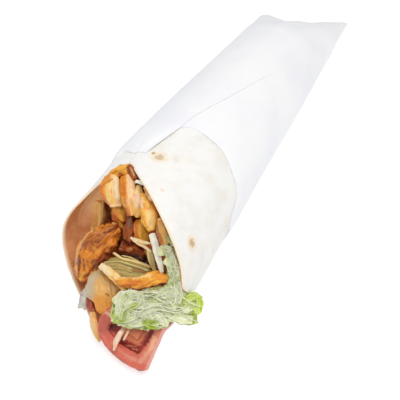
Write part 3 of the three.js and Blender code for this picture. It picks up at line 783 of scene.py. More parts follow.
def moistMaterial(name, roughness=0.38, coat=0.3, flesh=0.12, radius=(1, 0.5, 0.25), bumpSize=0.8,
                  bumpHeight=0.3, freckle=0.35, speck=0.0):
    # freckle is how strong the mottling is, speck how dark the scattered bits are
    material, tree, shader = newMaterial(name, roughness, coat, flesh=flesh, fleshRadius=radius)
    painted, darker = paintedColors(tree, 1.12, 0.72)
    freckles = mottle(tree, 1.3, 0.5, 0.7)
    clouds = mottle(tree, 3.4, 0.4, 0.75, (2, 5, 1))
    mask = mathNode(tree, "MULTIPLY", mathNode(tree, "MAXIMUM", freckles, clouds), freckle)
    shade = mixColor(tree, mask, painted, darker)
    if speck:
        bits, patches = mottle(tree, 0.85, 0.6, 0.7, (4, 2, 7)), mottle(tree, 4.5, 0.42, 0.6, (1, 9, 3))
        burnt = mathNode(tree, "MULTIPLY", mathNode(tree, "MULTIPLY", bits, patches), speck)
        shade = mixColor(tree, burnt, shade, tones["char"])
    tree.links.new(shade, shader.inputs["Base Color"])
    tree.links.new(mapRange(tree, freckles, 0, 1, roughness, roughness + 0.2), shader.inputs["Roughness"])
    addBump(tree, shader, objectNoise(tree, bumpSize, 4.0), bumpHeight, 0.6)
    return material


# Brush strokes are all alike: tone, width in picture points, strength and the picture points it runs through
# The maroon and char strokes are mostly painted shadow in the gaps between the pieces, over the sauce's own
# dark brown.
coreStrokes = [
    ("spice", 26, 0.5, [(122, 180), (118, 200)]), ("brown", 7, 0.6, [(105, 203), (107, 222)]),
    ("maroon", 3, 0.8, [(109, 205), (110, 219)]), ("maroon", 5, 0.9, [(137, 171), (142, 180)]),
    ("char", 5, 0.8, [(142, 184), (150, 199)]), ("maroon", 7, 0.9, [(128, 210), (132, 219)]),
    ("maroon", 10, 0.85, [(121, 242), (124, 256)]), ("maroon", 9, 0.95, [(133, 260), (147, 260)]),
    ("herb", 3, 0.6, [(144, 186), (141, 193)]), ("maroon", 4, 0.8, [(155, 221), (160, 230)]),
    ("spice", 6, 0.5, [(140, 246), (146, 250)]),
]
coreShape = {"voxel": 0.7, "rounds": 2, "size": 2.2, "height": 1.8}
core = softCopy("filling_core", "sauceMass", **coreShape)
tint(core, "spice", strokes=coreStrokes, deep="char", hollow=0.8, wander=2.5)
sauceFinish = moistMaterial("sauceMass", roughness=0.4, coat=0.15, bumpSize=1.2, bumpHeight=0.6)
finishPiece(core, sauceFinish, "core", "filling_core")

print("stage: chicken and meat")
# Stations run along each piece: picture x and y, width to either side in mm, how far proud the front is.
# The rest of a piece's own values are what sweptPiece and tint take.
# Each piece's pale tone, on the side its direction names, is partly painted light on the side the lamps
# reach.
meats = {
    "chicken_strip_left": {
        "stations": [(112, 176, 2.9, 2.7, 2), (111.5, 186, 4.6, 3.6, 3.6), (112, 196, 4.0, 3.7, 4.4),
                     (114, 207, 1.3, 3.1, 4)],
        "thick": 6, "section": "roof", "cap": 0.8, "blunt": 5, "fibre": 0.36, "lump": 0.6, "seed": 1,
        "base": "amber", "pale": "pale", "paleAndLitSide": (0.75, -0.1, 0.65),
        "strokes": [
            ("amber", 11, 0.9, [(104, 181), (101, 190), (107, 204)]),
            ("gold", 4, 0.6, [(108, 182), (106, 192), (110, 201)]),
            ("spice", 3, 0.6, [(99.5, 184), (101, 193), (106, 202)]),
            ("pale", 5, 0.8, [(109, 186), (108, 192), (110, 201)]),
            ("brown", 1.6, 0.7, [(100, 188), (105, 183.5), (112, 179)]),
            # The grey stroke is painted shade on the right face.
            ("grey", 7, 0.4, [(117, 182), (117.5, 200)]), ("cream", 5, 0.7, [(115, 181), (116, 196)]),
            ("gold", 4, 0.6, [(111, 196), (113, 203)]),
            # painted highlight: the cream stroke along the bottom rim
            ("cream", 2.2, 0.9, [(110.5, 205.5), (121, 206.5)])]},
    "chicken_strip_middle": {
        "stations": [(127.5, 176.5, 2.7, 3.0, 4), (127.5, 188, 3.0, 3.5, 5.8), (128.5, 200, 2.9, 3.7, 7),
                     (132, 215, 1.7, 2.4, 6)],
        "thick": 6, "section": "roof", "cap": 1, "blunt": 4, "fibre": 0.24, "lump": 0.4, "seed": 2,
        "base": "amber", "pale": "peach", "paleAndLitSide": (0.75, -0.1, 0.65),
        "strokes": [
            ("spice", 4, 0.55, [(123, 184), (123.5, 194)]), ("brown", 1.6, 0.5, [(121, 199), (126, 200)]),
            ("tan", 4, 0.5, [(122, 198), (126, 206)]), ("brown", 1.2, 0.5, [(123, 202), (127, 203.5)]),
            ("cream", 3.5, 0.6, [(130, 179), (131, 196)]), ("olive", 4, 0.5, [(130.5, 201), (133.5, 206)]),
            ("rose", 3.5, 0.5, [(133.5, 184), (134, 198)]),
            ("spice", 1.4, 0.5, [(119.8, 183), (119.6, 200)]),
            ("brown", 4, 0.6, [(125, 210), (128.5, 217)]), ("gold", 3, 0.6, [(132, 206), (135, 215)])]},
    "chicken_strip_thin": {
        "stations": [(138.5, 185, 0.9, 1.0, 6), (139.6, 196, 2.2, 1.7, 6.6), (139.6, 206, 2.6, 2.0, 6.6),
                     (137.5, 216.5, 1.6, 1.3, 4.2)],
        "thick": 3.4, "seed": 3, "base": "gold", "pale": "pale", "paleAndLitSide": (0.2, 0.3, 0.9),
        "strokes": [
            ("olive", 4, 0.5, [(138, 186), (140, 193)]), ("rose", 8, 0.9, [(138, 197), (141, 209)]),
            ("gold", 5, 0.75, [(137, 210), (138, 216)])]},
    "chicken_strip_right": {
        "stations": [(145, 195, 2.0, 1.7, 7.8), (148.5, 206, 3.1, 2.8, 10.8), (150.5, 218, 3.6, 3.2, 12.2),
                     (151, 230, 1.7, 1.6, 11.4)],
        "thick": 5.6, "cap": 2.0, "lump": 0.6, "fibre": 0.25, "seed": 4, "base": "gold",
        "strokes": [
            ("amber", 4, 0.35, [(151, 199), (156, 207)]), ("cream", 4, 0.7, [(142, 199), (141, 206)]),
            ("pale", 5, 0.5, [(148, 202), (148.5, 207)]),
            ("amber", 1.6, 0.85, [(143.5, 204), (145, 208.5), (149.5, 208.5), (151, 204), (149, 200.5)]),
            ("pale", 8, 0.75, [(149, 213), (150.5, 222)]), ("pale", 4, 0.7, [(149.5, 216), (151, 228)]),
            ("olive", 2, 0.4, [(149, 221), (150, 224)]),
            ("amber", 2, 0.75, [(158, 212), (158, 221), (155, 227)]),
            ("spice", 1.4, 0.55, [(141.5, 212), (143.5, 220), (147.5, 227.5)])]},
    "chicken_top_left": {
        "stations": [(103.5, 184, 0.9, 0.8, -2.8), (112, 176, 1.7, 1.6, -1), (120, 170.8, 2.2, 2.0, 0.6),
                     (129, 167, 2.8, 1.2, 2.8)],
        "thick": 3.6, "section": "slab", "lump": 0.4, "seed": 5, "base": "amber", "pale": "gold",
        "paleAndLitSide": (0, 0.6, 0.8),
        "strokes": [
            ("spice", 5, 0.6, [(112, 180), (120, 176)]), ("brown", 3, 0.6, [(116, 171), (119, 173)]),
            ("brown", 3, 0.5, [(107, 179), (110, 178)]), ("gold", 3, 0.6, [(112, 175.5), (124, 168.5)]),
            ("brown", 2.4, 0.9, [(119.5, 174.5), (121.5, 174.8)]),
            ("brown", 2, 0.85, [(128.5, 165), (129.5, 168)]),
            ("brown", 1.6, 0.6, [(127.5, 171), (129, 176)]),
            ("spice", 1.8, 0.5, [(104, 184.5), (112, 179)]),
            ("brown", 1.4, 0.5, [(108, 176.5), (116, 171.5)]),
            ("brown", 1.2, 0.5, [(120, 171.5), (126, 169)])]},
    "chicken_top_right": {
        "stations": [(129.5, 165.5, 1.3, 1.0, 3), (132.5, 172, 1.9, 1.7, 4), (137, 180, 1.2, 1.2, 5.1)],
        "thick": 3.4, "fibre": 0.35, "seed": 6, "base": "brown",
        "strokes": [
            ("tan", 1.8, 0.75, [(130.5, 168), (134, 175)]),
            ("char", 1.8, 0.7, [(128.5, 168), (129.5, 175)]),
            # painted shadow: the maroon stroke along the bread flap
            ("maroon", 3.4, 0.85, [(135, 171), (141, 179)])]},
    "chicken_bit": {
        "stations": [(146, 186, 0.9, 0.8, 10.4), (149, 193, 1.3, 1.0, 11.3), (152, 200.5, 0.9, 0.8, 12)],
        "thick": 2, "cap": 0.8, "lump": 0.5, "seed": 7, "rows": 40, "around": 32, "base": "peach",
        "strokes": [
            ("amber", 3, 0.8, [(146, 189), (149.5, 195)]),
            ("char", 1.2, 0.6, [(144.5, 190), (147.5, 198)])]},
    "tan_strip": {
        "stations": [(99.5, 201, 2.1, 2.0, -6.8), (99.8, 213, 2.1, 2.3, -9.4), (97.5, 224, 2.2, 2.5, -11.6),
                     (95, 234, 2.0, 2.5, -12.4)],
        "thick": 3.6, "section": "slab", "blunt": 4, "fibre": 0.45, "lump": 0.3, "seed": 8, "base": "tan",
        "strokes": [
            ("amber", 1.6, 0.4, [(97, 204), (96, 226)]), ("olive", 1.8, 0.5, [(103.5, 204), (102, 224)]),
            ("pale", 1.6, 0.5, [(99.8, 204), (99, 226)]), ("spice", 1.8, 0.4, [(93.6, 216), (93, 228)])]},
    "chicken_piece_inner": {
        "stations": [(120.5, 205.5, 3.4, 3.8, -2), (120.8, 212, 3.1, 3.1, -1.4),
                     (123.5, 221, 0.9, 1.0, -2.4)],
        "thick": 4.6, "section": "roof", "lump": 0.6, "seed": 9, "base": "amber", "pale": "gold",
        "paleAndLitSide": (0.3, 0.6, 0.7),
        "strokes": [
            ("olive", 4, 0.5, [(122, 209), (128, 209)]), ("gold", 3, 0.5, [(113, 209), (118, 211)]),
            ("brown", 2.6, 0.6, [(125, 213), (124.5, 219)]),
            ("spice", 1.8, 0.6, [(112.5, 213), (119, 219)])]},
    "chicken_piece_slant": {
        "stations": [(113, 210.5, 1.1, 1.6, -5.4), (117.5, 219, 1.9, 2.0, -5.6), (123, 229, 1.3, 1.3, -6)],
        "thick": 4, "section": "roof", "fibre": 0.35, "seed": 10, "base": "spice",
        "strokes": [
            ("gold", 2.2, 0.75, [(115, 213), (122, 226)]), ("brown", 2, 0.5, [(120, 215), (125, 224)])]},
    "chicken_piece_centre": {
        "stations": [(139.5, 220.5, 1.6, 1.6, 1.2), (141.6, 231.5, 3.1, 2.9, 2.9),
                     (144.2, 244, 3.0, 2.2, 1.5)],
        "thick": 5, "lump": 0.6, "fibre": 0.3, "seed": 11, "base": "amber", "pale": "gold",
        "paleAndLitSide": (0.6, 0, 0.8),
        "strokes": [
            ("brown", 3, 0.5, [(136, 221), (135.5, 236)]), ("spice", 4, 0.5, [(137.5, 226), (138, 238)]),
            ("gold", 9, 0.95, [(143.5, 228), (144, 241)]), ("gold", 5, 0.8, [(147, 234), (147.5, 241)]),
            ("olive", 2.6, 0.4, [(147, 238), (143, 243)])]},
    "chicken_piece_flap": {
        "stations": [(160, 219, 0.9, 0.9, 14.2), (163.5, 230, 2.6, 2.3, 15.5),
                     (168.5, 243.5, 2.7, 2.0, 15)],
        "thick": 5, "lump": 0.6, "fibre": 0.35, "seed": 12, "base": "olive", "pale": "tan",
        "paleAndLitSide": (-0.3, 0.5, 0.8),
        "strokes": [
            ("brown", 4.5, 0.85, [(158.5, 234), (161, 242)]),
            ("pale", 2, 0.7, [(158, 219.5), (163, 220.5)]), ("amber", 1.8, 0.6, [(157, 222), (163, 220.5)]),
            ("char", 1.8, 0.6, [(156.8, 225), (157.5, 231)]), ("herb", 5, 0.85, [(169, 238), (172, 247)]),
            ("herb", 2, 0.6, [(160, 213.5), (163, 219)]), ("tan", 6, 0.7, [(163, 224), (165, 233)])]},
    "chicken_bend_upper": {
        "stations": [(101, 265.5, 1.4, 1.5, -2.5), (109, 271, 1.8, 1.7, -0.4), (118, 279.5, 1.8, 1.8, 2.4),
                     (126, 290, 1.1, 1.3, 4.5)],
        "thick": 3, "section": "slab", "lump": 0.4, "seed": 13, "base": "gold", "pale": "pale",
        "paleAndLitSide": (0.3, 0.6, 0.7),
        "strokes": [
            ("cream", 8, 0.95, [(101, 266), (109, 271.5)]), ("pale", 4, 0.8, [(110, 270), (120, 281)]),
            ("amber", 3, 0.7, [(116, 281), (125, 290)]), ("spice", 1.6, 0.6, [(112, 277), (120, 287)]),
            ("gold", 2.6, 0.6, [(113, 272), (114, 274.5)])]},
    "chicken_bend_lower": {
        "stations": [(119, 280.5, 1.3, 1.4, 5.6), (131, 282.5, 2.2, 2.2, 7.2), (144, 281.5, 2.4, 2.6, 9.2),
                     (157, 277.5, 2.7, 2.7, 11), (169, 279, 0.9, 0.9, 11.8)],
        "thick": 4, "section": "bar", "lump": 0.8, "fibre": 0.3, "grain": 0.14, "ragged": 0.9, "seed": 14,
        "rows": 80, "base": "amber", "pale": "gold", "paleAndLitSide": (0, 0.8, 0.6),
        "strokes": [
            # painted highlight: the pale stroke along the top edge
            ("pale", 2.6, 0.8, [(121, 277.5), (138, 277.5), (152, 275)]),
            ("amber", 8, 0.75, [(122, 283), (145, 283)]), ("spice", 4, 0.4, [(128, 281), (140, 282)]),
            ("spice", 3.4, 0.8, [(124, 286), (136, 284.5)]),
            ("brown", 1.5, 0.6, [(127, 285.5), (131, 286.5)]), ("amber", 8, 0.7, [(155, 275), (166, 279)]),
            ("brown", 1.4, 0.5, [(140, 287), (152, 283)]), ("spice", 1.6, 0.5, [(158, 273), (165, 276)]),
            ("olive", 2, 0.5, [(135, 288.5), (146, 288)]), ("gold", 2, 0.6, [(168, 276), (168.5, 281)])]},
    "glazed_piece": {
        "stations": [(131.5, 212, 2.0, 2.3, -1.6), (131.5, 224, 2.4, 2.5, -1.1),
                     (129, 240, 2.4, 2.4, -3.6)],
        "thick": 4.6, "lump": 1.1, "fibre": 0.4, "grain": 0.2, "seed": 15, "base": "brown",
        "strokes": [
            ("maroon", 4, 0.6, [(134, 216), (135, 230), (133, 240)]),
            # painted highlight: the violet stroke on the glaze
            ("violet", 5, 0.6, [(129, 219), (130, 227)]), ("spice", 5, 0.5, [(130, 231), (131, 239)]),
            ("char", 3, 0.6, [(131.5, 216), (134, 221)]), ("rose", 2, 0.7, [(130.5, 212.5), (132, 214)]),
            ("rose", 1.6, 0.7, [(131, 237), (133, 238)])]},
    "dark_piece": {
        "stations": [(122, 246, 2.5, 2.8, -8), (135, 250.5, 3.6, 3.8, -6.4), (148, 256, 3, 3, -5)],
        "thick": 6, "lump": 1.8, "fibre": 0.7, "grain": 0.2, "seed": 16, "base": "brown",
        "strokes": [
            # painted shadow: the first maroon stroke on the lower right side
            ("maroon", 9, 0.95, [(134, 258), (146, 259)]), ("char", 4, 0.6, [(125, 256), (134, 262)]),
            ("spice", 5, 0.8, [(128, 249), (137, 247)]),
            ("pale", 1.8, 0.8, [(129.8, 248.5), (131.5, 249.5)]),
            ("maroon", 3, 0.7, [(142, 247), (147, 252)]), ("spice", 5, 0.6, [(137, 251), (142, 254)])]},
    "grilled_chunk": {
        "stations": [(116, 228.5, 2.6, 2.8, -5.5), (104.5, 238.5, 5.4, 6.2, -2.6),
                     (92, 254, 6.2, 6.9, -4.6), (82.5, 277.5, 3.0, 4.0, -9.4)],
        "thick": 10, "cap": 3.5, "blunt": 2.2, "lump": 1.3, "fibre": 0.65, "grain": 0.22, "around": 96,
        "rows": 110, "seed": 17, "base": "spice", "pale": "amber", "paleAndLitSide": (-0.2, 0.5, 0.8),
        "strokes": [
            ("brown", 10, 0.35, [(94, 237), (109, 235)]),
            ("char", 2, 0.5, [(88, 238), (97, 234), (101, 236)]), ("brown", 7, 0.8, [(84, 245), (90, 242)]),
            ("brown", 4, 0.5, [(93, 240), (101, 238)]), ("amber", 7, 0.6, [(82, 256), (92, 253)]),
            ("spice", 6, 0.7, [(92, 249), (101, 246)]), ("amber", 7, 0.6, [(103, 245), (112, 238)]),
            ("brown", 5, 0.45, [(90, 248), (97, 246), (104, 244)]),
            ("brown", 3, 0.6, [(92, 262), (96, 259)]), ("char", 1.6, 0.6, [(85, 246), (88, 241)]),
            ("char", 1.4, 0.5, [(92, 245), (97, 241), (103, 240)]),
            ("amber", 8, 0.8, [(88, 255), (86, 268)]), ("gold", 3, 0.5, [(93, 248), (99, 251)]),
            ("char", 3.2, 0.8, [(104.5, 233), (112, 229.5), (120.5, 224.5)]),
            ("brown", 3, 0.6, [(101, 229), (116, 225.5)]), ("char", 2.4, 0.85, [(79.5, 256), (78.8, 270)]),
            ("char", 1.8, 0.75, [(83.5, 259), (84.5, 270)]),
            ("brown", 1.6, 0.7, [(87.5, 260), (88.5, 268)]),
            # The char stroke below is partly char and partly painted shadow on the lower right side; the
            # mauve one after it is a painted highlight there.
            ("char", 6, 0.85, [(95, 266), (103, 260), (112, 251)]),
            ("mauve", 1.8, 0.6, [(98, 262), (104, 257)]),
            ("peach", 1.5, 0.75, [(97, 226.5), (89, 232), (83, 240), (78, 250), (75.5, 262), (77, 275)]),
            ("peach", 1.6, 0.6, [(112, 222.5), (121, 224)]), ("gold", 4, 0.6, [(83, 274), (80, 280)])]},
}
charredPieces = ("grilled_chunk", "glazed_piece", "dark_piece")
chickenFinish = moistMaterial("chickenMeat", roughness=0.45, coat=0.12, speck=0.35)
charredFinish = moistMaterial("charredMeat", roughness=0.4, coat=0.16, bumpHeight=0.6, freckle=0.6, speck=0.9)


def shapeAndPaint(spec):  # what sweptPiece takes of a piece's values, and what tint takes
    colors = {key: spec[key] for key in ("base", "pale", "paleAndLitSide", "strokes") if key in spec}
    return {key: value for key, value in spec.items() if key not in colors}, colors


meatPieces = {}
for nodeName, spec in meats.items():
    shape, colors = shapeAndPaint(spec)
    piece = sweptPiece(nodeName + "Meat", **shape)
    dark = spec["base"] in ("spice", "brown")
    tint(piece, deep="char" if dark else "spice", edge="char" if dark else "brown", **colors)
    meatPieces[nodeName] = piece
    finish, slotName = (charredFinish, "charred") if nodeName in charredPieces else (chickenFinish, "chicken")
    finishPiece(piece, finish, slotName, nodeName)


slivers = {  # in the picture they lie in this reach to the right and down; the heading is in degrees
    "count": 230, "right": (96, 172), "down": (168, 276), "heading": (-80, 28), "rising": (-0.1, 0.35),
    "length": (1.6, 4.6), "width": (0.7, 1.7), "flat": 0.6, "bend": (-0.4, 0.4), "around": 8, "rows": 9,
    "tones": ["amber", "spice", "gold", "spice", "brown", "tan"], "shade": (0.75, 1.05),
}


def addSliver(mesh, layer, middle, ways, length, width, bend, color, seed):
    tangent, side, over = ways
    around, rows = slivers["around"], slivers["rows"]
    rings = []
    for i in range(rows):
        f = i / (rows - 1)
        size = max(0.12, math.sqrt(math.sin(math.pi * mix(0.06, 0.94, f))))
        at = middle + tangent * length * (f - 0.5) + side * bend * (f - 0.5) ** 2
        ring = []
        for j in range(around):
            turn = 2 * math.pi * j / around
            wobble = 1 + 0.35 * noise.noise(Vector((math.cos(turn), math.sin(turn), f * 3 + seed * 5)))
            out = side * math.cos(turn) + over * slivers["flat"] * math.sin(turn)
            v = mesh.verts.new(at + out * width / 2 * size * wobble)
            v[layer] = color
            ring.append(v)
        rings.append(ring)
    for ring, after in zip(rings, rings[1:]):
        for j in range(around):
            mesh.faces.new((ring[j], ring[(j + 1) % around], after[(j + 1) % around], after[j]))
    mesh.faces.new(rings[0][::-1])
    mesh.faces.new(rings[-1])


def makeSlivers():  # shreds of meat that lie on the sauce mass between the larger pieces
    wall, mass = treeOf(breadSheet), treeOf(core)
    gapShadows = [(points, width) for tone, width, _, points in coreStrokes if tone in ("maroon", "char")]
    mesh = bmesh.new()
    layer = mesh.verts.layers.float_color.new("tint")
    for k in range(slivers["count"]):
        x, y = rng.uniform(*slivers["right"]), rng.uniform(*slivers["down"])
        place, normal = landing(mass, x, y)
        blocked, _ = landing(wall, x, y)
        if place is None or blocked is not None and inMouth(blocked)[2] > inMouth(place)[2]:
            continue
        length, width = rng.uniform(*slivers["length"]) * mm, rng.uniform(*slivers["width"]) * mm
        heading = math.radians(rng.gauss(*slivers["heading"]))
        rising = normal * rng.uniform(*slivers["rising"])
        tangent = (across * math.cos(heading) + up * math.sin(heading) + rising).normalized()
        side = tangent.cross(normal).normalized()
        color = Vector(tones[rng.choice(slivers["tones"])]) * rng.uniform(*slivers["shade"])
        # painted shadow: slivers lying in the painted gap shadows are darkened to maroon
        if any(strokeAt(x, y, points, w) > 0.4 for points, w in gapShadows):
            color = color.lerp(Vector(tones["maroon"]), 0.75)
        ways = (tangent, side, side.cross(tangent))
        bend = rng.uniform(*slivers["bend"]) * length
        addSliver(mesh, layer, place + normal * 0.25 * width, ways, length, width, bend, color, k)
    return meshPiece("meatSlivers", mesh)


finishPiece(makeSlivers(), chickenFinish, "chicken")

print("stage: onion and cabbage")
softPieces = {
    "cabbage_strip": {
        "stations": [(151.8, 233.3, 1.3, 1.3, 10.6), (154.8, 244, 1.3, 1.5, 11), (158, 258, 1.1, 1.4, 10.6),
                     (161.5, 273, 0.5, 1.0, 9.4)],
        "thick": 1.3, "lump": 0.25, "ragged": 0.12, "seed": 21, "base": "leafCream",
        "strokes": [
            ("straw", 1.6, 0.6, [(149, 236), (153, 252), (157, 268)]),
            ("ice", 2, 0.5, [(155, 240), (160, 262)])]},
    "onion_shred_upper_1": {
        "stations": [(130.5, 237.5, 0.4, 0.45, 1.6), (136.5, 241.5, 0.6, 0.7, 3.4), (144, 246, 0.6, 0.6, 5),
                     (151.5, 252, 0.35, 0.4, 6.4)],
        "thick": 0.9, "seed": 22, "base": "cream",
        "strokes": [("gold", 2, 0.4, [(138, 243), (146, 247)])]},
    "onion_shred_upper_2": {
        "stations": [(148.5, 249, 0.9, 1.0, 5.9), (151.5, 260, 1.2, 1.2, 5), (155.5, 274, 0.5, 0.6, 3.4)],
        "thick": 0.9, "seed": 23, "base": "straw",
        "strokes": [("olive", 1.6, 0.5, [(150, 254), (152, 266)])]},
    "onion_shred_upper_3": {
        "stations": [(133, 238.6, 0.4, 0.5, 2.4), (141.5, 241.5, 0.6, 0.7, 5.4),
                     (150.5, 243.5, 0.3, 0.35, 7.8)],
        "thick": 0.9, "seed": 24, "base": "cream",
        "strokes": [("gold", 2, 0.5, [(138, 240.5), (145, 242.5)])]},
    "onion_shred_lower_1": {
        "stations": [(127, 323.5, 0.5, 0.5, 0), (121.2, 332.5, 1.0, 0.9, 2), (116.2, 341, 1.1, 1.1, 2.8),
                     (114, 350.5, 0.4, 0.4, 3)],
        "thick": 0.9, "seed": 25, "base": "rose",
        "strokes": [("leafCream", 1.8, 0.7, [(121, 332), (116, 343)])]},
    "onion_shred_lower_2": {
        "stations": [(131, 322.5, 0.5, 0.5, 0.6), (128, 331.5, 0.6, 0.6, 2.4),
                     (123.3, 340.3, 0.35, 0.35, 3)],
        "thick": 0.9, "seed": 26, "base": "rose",
        "strokes": [("peach", 2, 0.5, [(129, 328), (126, 336)])]},
    "pale_shred": {
        "stations": [(135.5, 181.2, 0.5, 0.5, 6.4), (141, 182.6, 0.8, 0.8, 8), (146, 185.2, 0.4, 0.4, 9)],
        "thick": 0.9, "seed": 27, "base": "white",
        "strokes": [("straw", 1.2, 0.3, [(137, 182), (143, 183)])]},
    "cream_strip": {
        "stations": [(92.6, 311.5, 0.9, 1.3, -8), (92.3, 319, 1.2, 2.0, -7.4), (94.3, 329, 1.2, 2.0, -6.2),
                     (99.5, 342, 0.4, 0.6, -4.8)],
        "thick": 1.5, "ragged": 0.1, "seed": 28, "base": "tan",
        "strokes": [
            ("gold", 3, 0.5, [(93, 312), (93.5, 321)]), ("straw", 2.4, 0.6, [(93.5, 322), (96, 334)]),
            ("rose", 2.4, 0.75, [(90.5, 314), (90, 321), (92.5, 331)]),
            ("amber", 2.2, 0.6, [(95.5, 316), (97.5, 333)])]},
    "onion_tip": {
        "stations": [(89.5, 285, 1.3, 1.5, -11.4), (85, 296, 1.8, 2.3, -10.9), (79.5, 308, 1.0, 2.6, -10)],
        "thick": 1.1, "ragged": 1.4, "lump": 0.5, "seed": 29, "base": "ice",
        "strokes": [
            ("violet", 1.8, 0.4, [(80.5, 294), (79.5, 301), (77, 307)]),
            ("white", 3, 0.6, [(86, 292), (84, 302)])]},
    "soft_onion": {
        "stations": [(99, 269.5, 3.6, 2.4, -7.6), (101, 281, 5.9, 5.1, -5.2), (103, 294, 6.7, 6.7, -3.6),
                     (103.5, 304, 3.5, 4.5, -3.8), (104, 313, 2.6, 3.0, -4.2)],
        "thick": 1.8, "ragged": 1.2, "fibre": 0.35, "lump": 0.45, "around": 96, "rows": 90, "seed": 30,
        "hollow": 0.5, "base": "tan",
        "strokes": [
            ("grey", 13, 0.9, [(87, 281), (88, 294)]), ("grey", 8, 0.6, [(98, 272), (92, 279)]),
            ("amber", 30, 0.45, [(101, 310), (105, 317)]), ("amber", 14, 0.35, [(101, 304), (106, 312)]),
            ("gold", 10, 0.3, [(104, 290), (112, 294)]),
            ("brown", 2.2, 0.95, [(106.6, 294), (108.2, 295.6)]),
            # painted shadow: the first brown stroke on this line, beside the lettuce
            ("brown", 3, 0.6, [(113, 301), (121, 297)]), ("spice", 3, 0.5, [(97, 312), (107, 313)]),
            ("olive", 1.0, 0.4, [(98, 291), (117, 291)]), ("olive", 1.0, 0.4, [(98, 299), (114, 299)])]},
    "tomato_bit": {
        "stations": [(89.5, 297, 1.4, 1.9, -8.1), (90.5, 305, 1.4, 1.9, -7.6),
                     (92.3, 310.5, 1.0, 1.5, -7.2)],
        "thick": 3, "section": "round", "lump": 1.0, "ragged": 0.8, "seed": 31, "base": "mauve",
        "strokes": [
            ("char", 2, 0.3, [(87.5, 300), (88, 306)]), ("spice", 2.5, 0.4, [(92, 299), (93, 306)])]},
    "cabbage_leaf": {
        "stations": [(99, 266.5, 0.8, 1.2, -9), (112, 267, 2.8, 3.4, -6.4), (127, 269, 3.8, 3.6, -3.8),
                     (143, 272, 2.7, 2.7, -1.2), (153, 275, 0.9, 0.9, 0.2)],
        "thick": 1.0, "fibre": 0.5, "lump": 0.7, "around": 80, "rows": 80, "seed": 32, "base": "leafOlive",
        "strokes": [
            ("straw", 2, 0.8, [(104, 264), (116, 264), (130, 268)]),
            ("herb", 1.6, 0.7, [(127, 264.5), (144, 268.5)]),
            ("brown", 1.6, 0.8, [(134, 269), (150, 273.5)]),
            ("straw", 3, 0.6, [(110, 269), (126, 273), (140, 277)]),
            ("brown", 3, 0.5, [(100, 267), (106, 269)])]},
}
# Values that a piece of onion or cabbage has where its own dictionary says nothing else
softDefaults = {"section": "slab", "cap": 0.9, "ragged": 0.3, "fibre": 0.15, "lump": 0.25, "around": 40}
softSlots = {"cabbage_strip": "lettuce", "cabbage_leaf": "lettuce", "tomato_bit": "tomato"}
onionFinish = moistMaterial("softOnion", roughness=0.28, coat=0.35, flesh=0.35, radius=(0.9, 0.85, 0.6),
                            bumpSize=0.9, bumpHeight=0.25, freckle=0.2)
for nodeName, spec in softPieces.items():
    shape, colors = shapeAndPaint(spec)
    piece = sweptPiece(nodeName + "Soft", **{**softDefaults, **shape})
    tint(piece, deep="olive", hollow=0.3, wander=0.7, **colors)
    finishPiece(piece, onionFinish, softSlots.get(nodeName, "onion"), nodeName)

leafRibs = [  # curved ribs that stand on the cabbage leaf: width, tone, then picture x, y and how far proud
    (0.55, "pale", [(113.5, 252.5, -5), (122, 258.5, -4.2), (135, 261.5, -2.2), (151, 267, 0.6)]),
    (0.32, "straw", [(103, 262.5, -7), (118, 261.5, -4.6), (133, 265.5, -2), (149, 271, 0.6)]),
    (0.16, "straw", [(104, 267, -7.6), (118, 268, -4.6), (132, 272, -2.2)]),
    (0.3, "straw", [(122, 255.5, -5), (132, 258, -3.6), (141, 262.5, -2), (148, 265, 0)]),
]


def makeLeafRibs():
    ribs = []
    for k, (width, tone, points) in enumerate(leafRibs):
        stations = [(x, y, width, width, z) for x, y, z in points]
        rib = sweptPiece(f"leafRib{k}", stations, 2.2 * width, cap=1.5, around=20, rows=48, fibre=0.05,
                         lump=0.2, seed=40 + k)
        tint(rib, tone, deep="olive", hollow=0.2)
        ribs.append(rib)
    makeActive(ribs[0])
    for rib in ribs:
        rib.select_set(True)
    bpy.ops.object.join()
    ribs[0].name = "leafRibs"
    return ribs[0]


finishPiece(makeLeafRibs(), onionFinish, "lettuce")

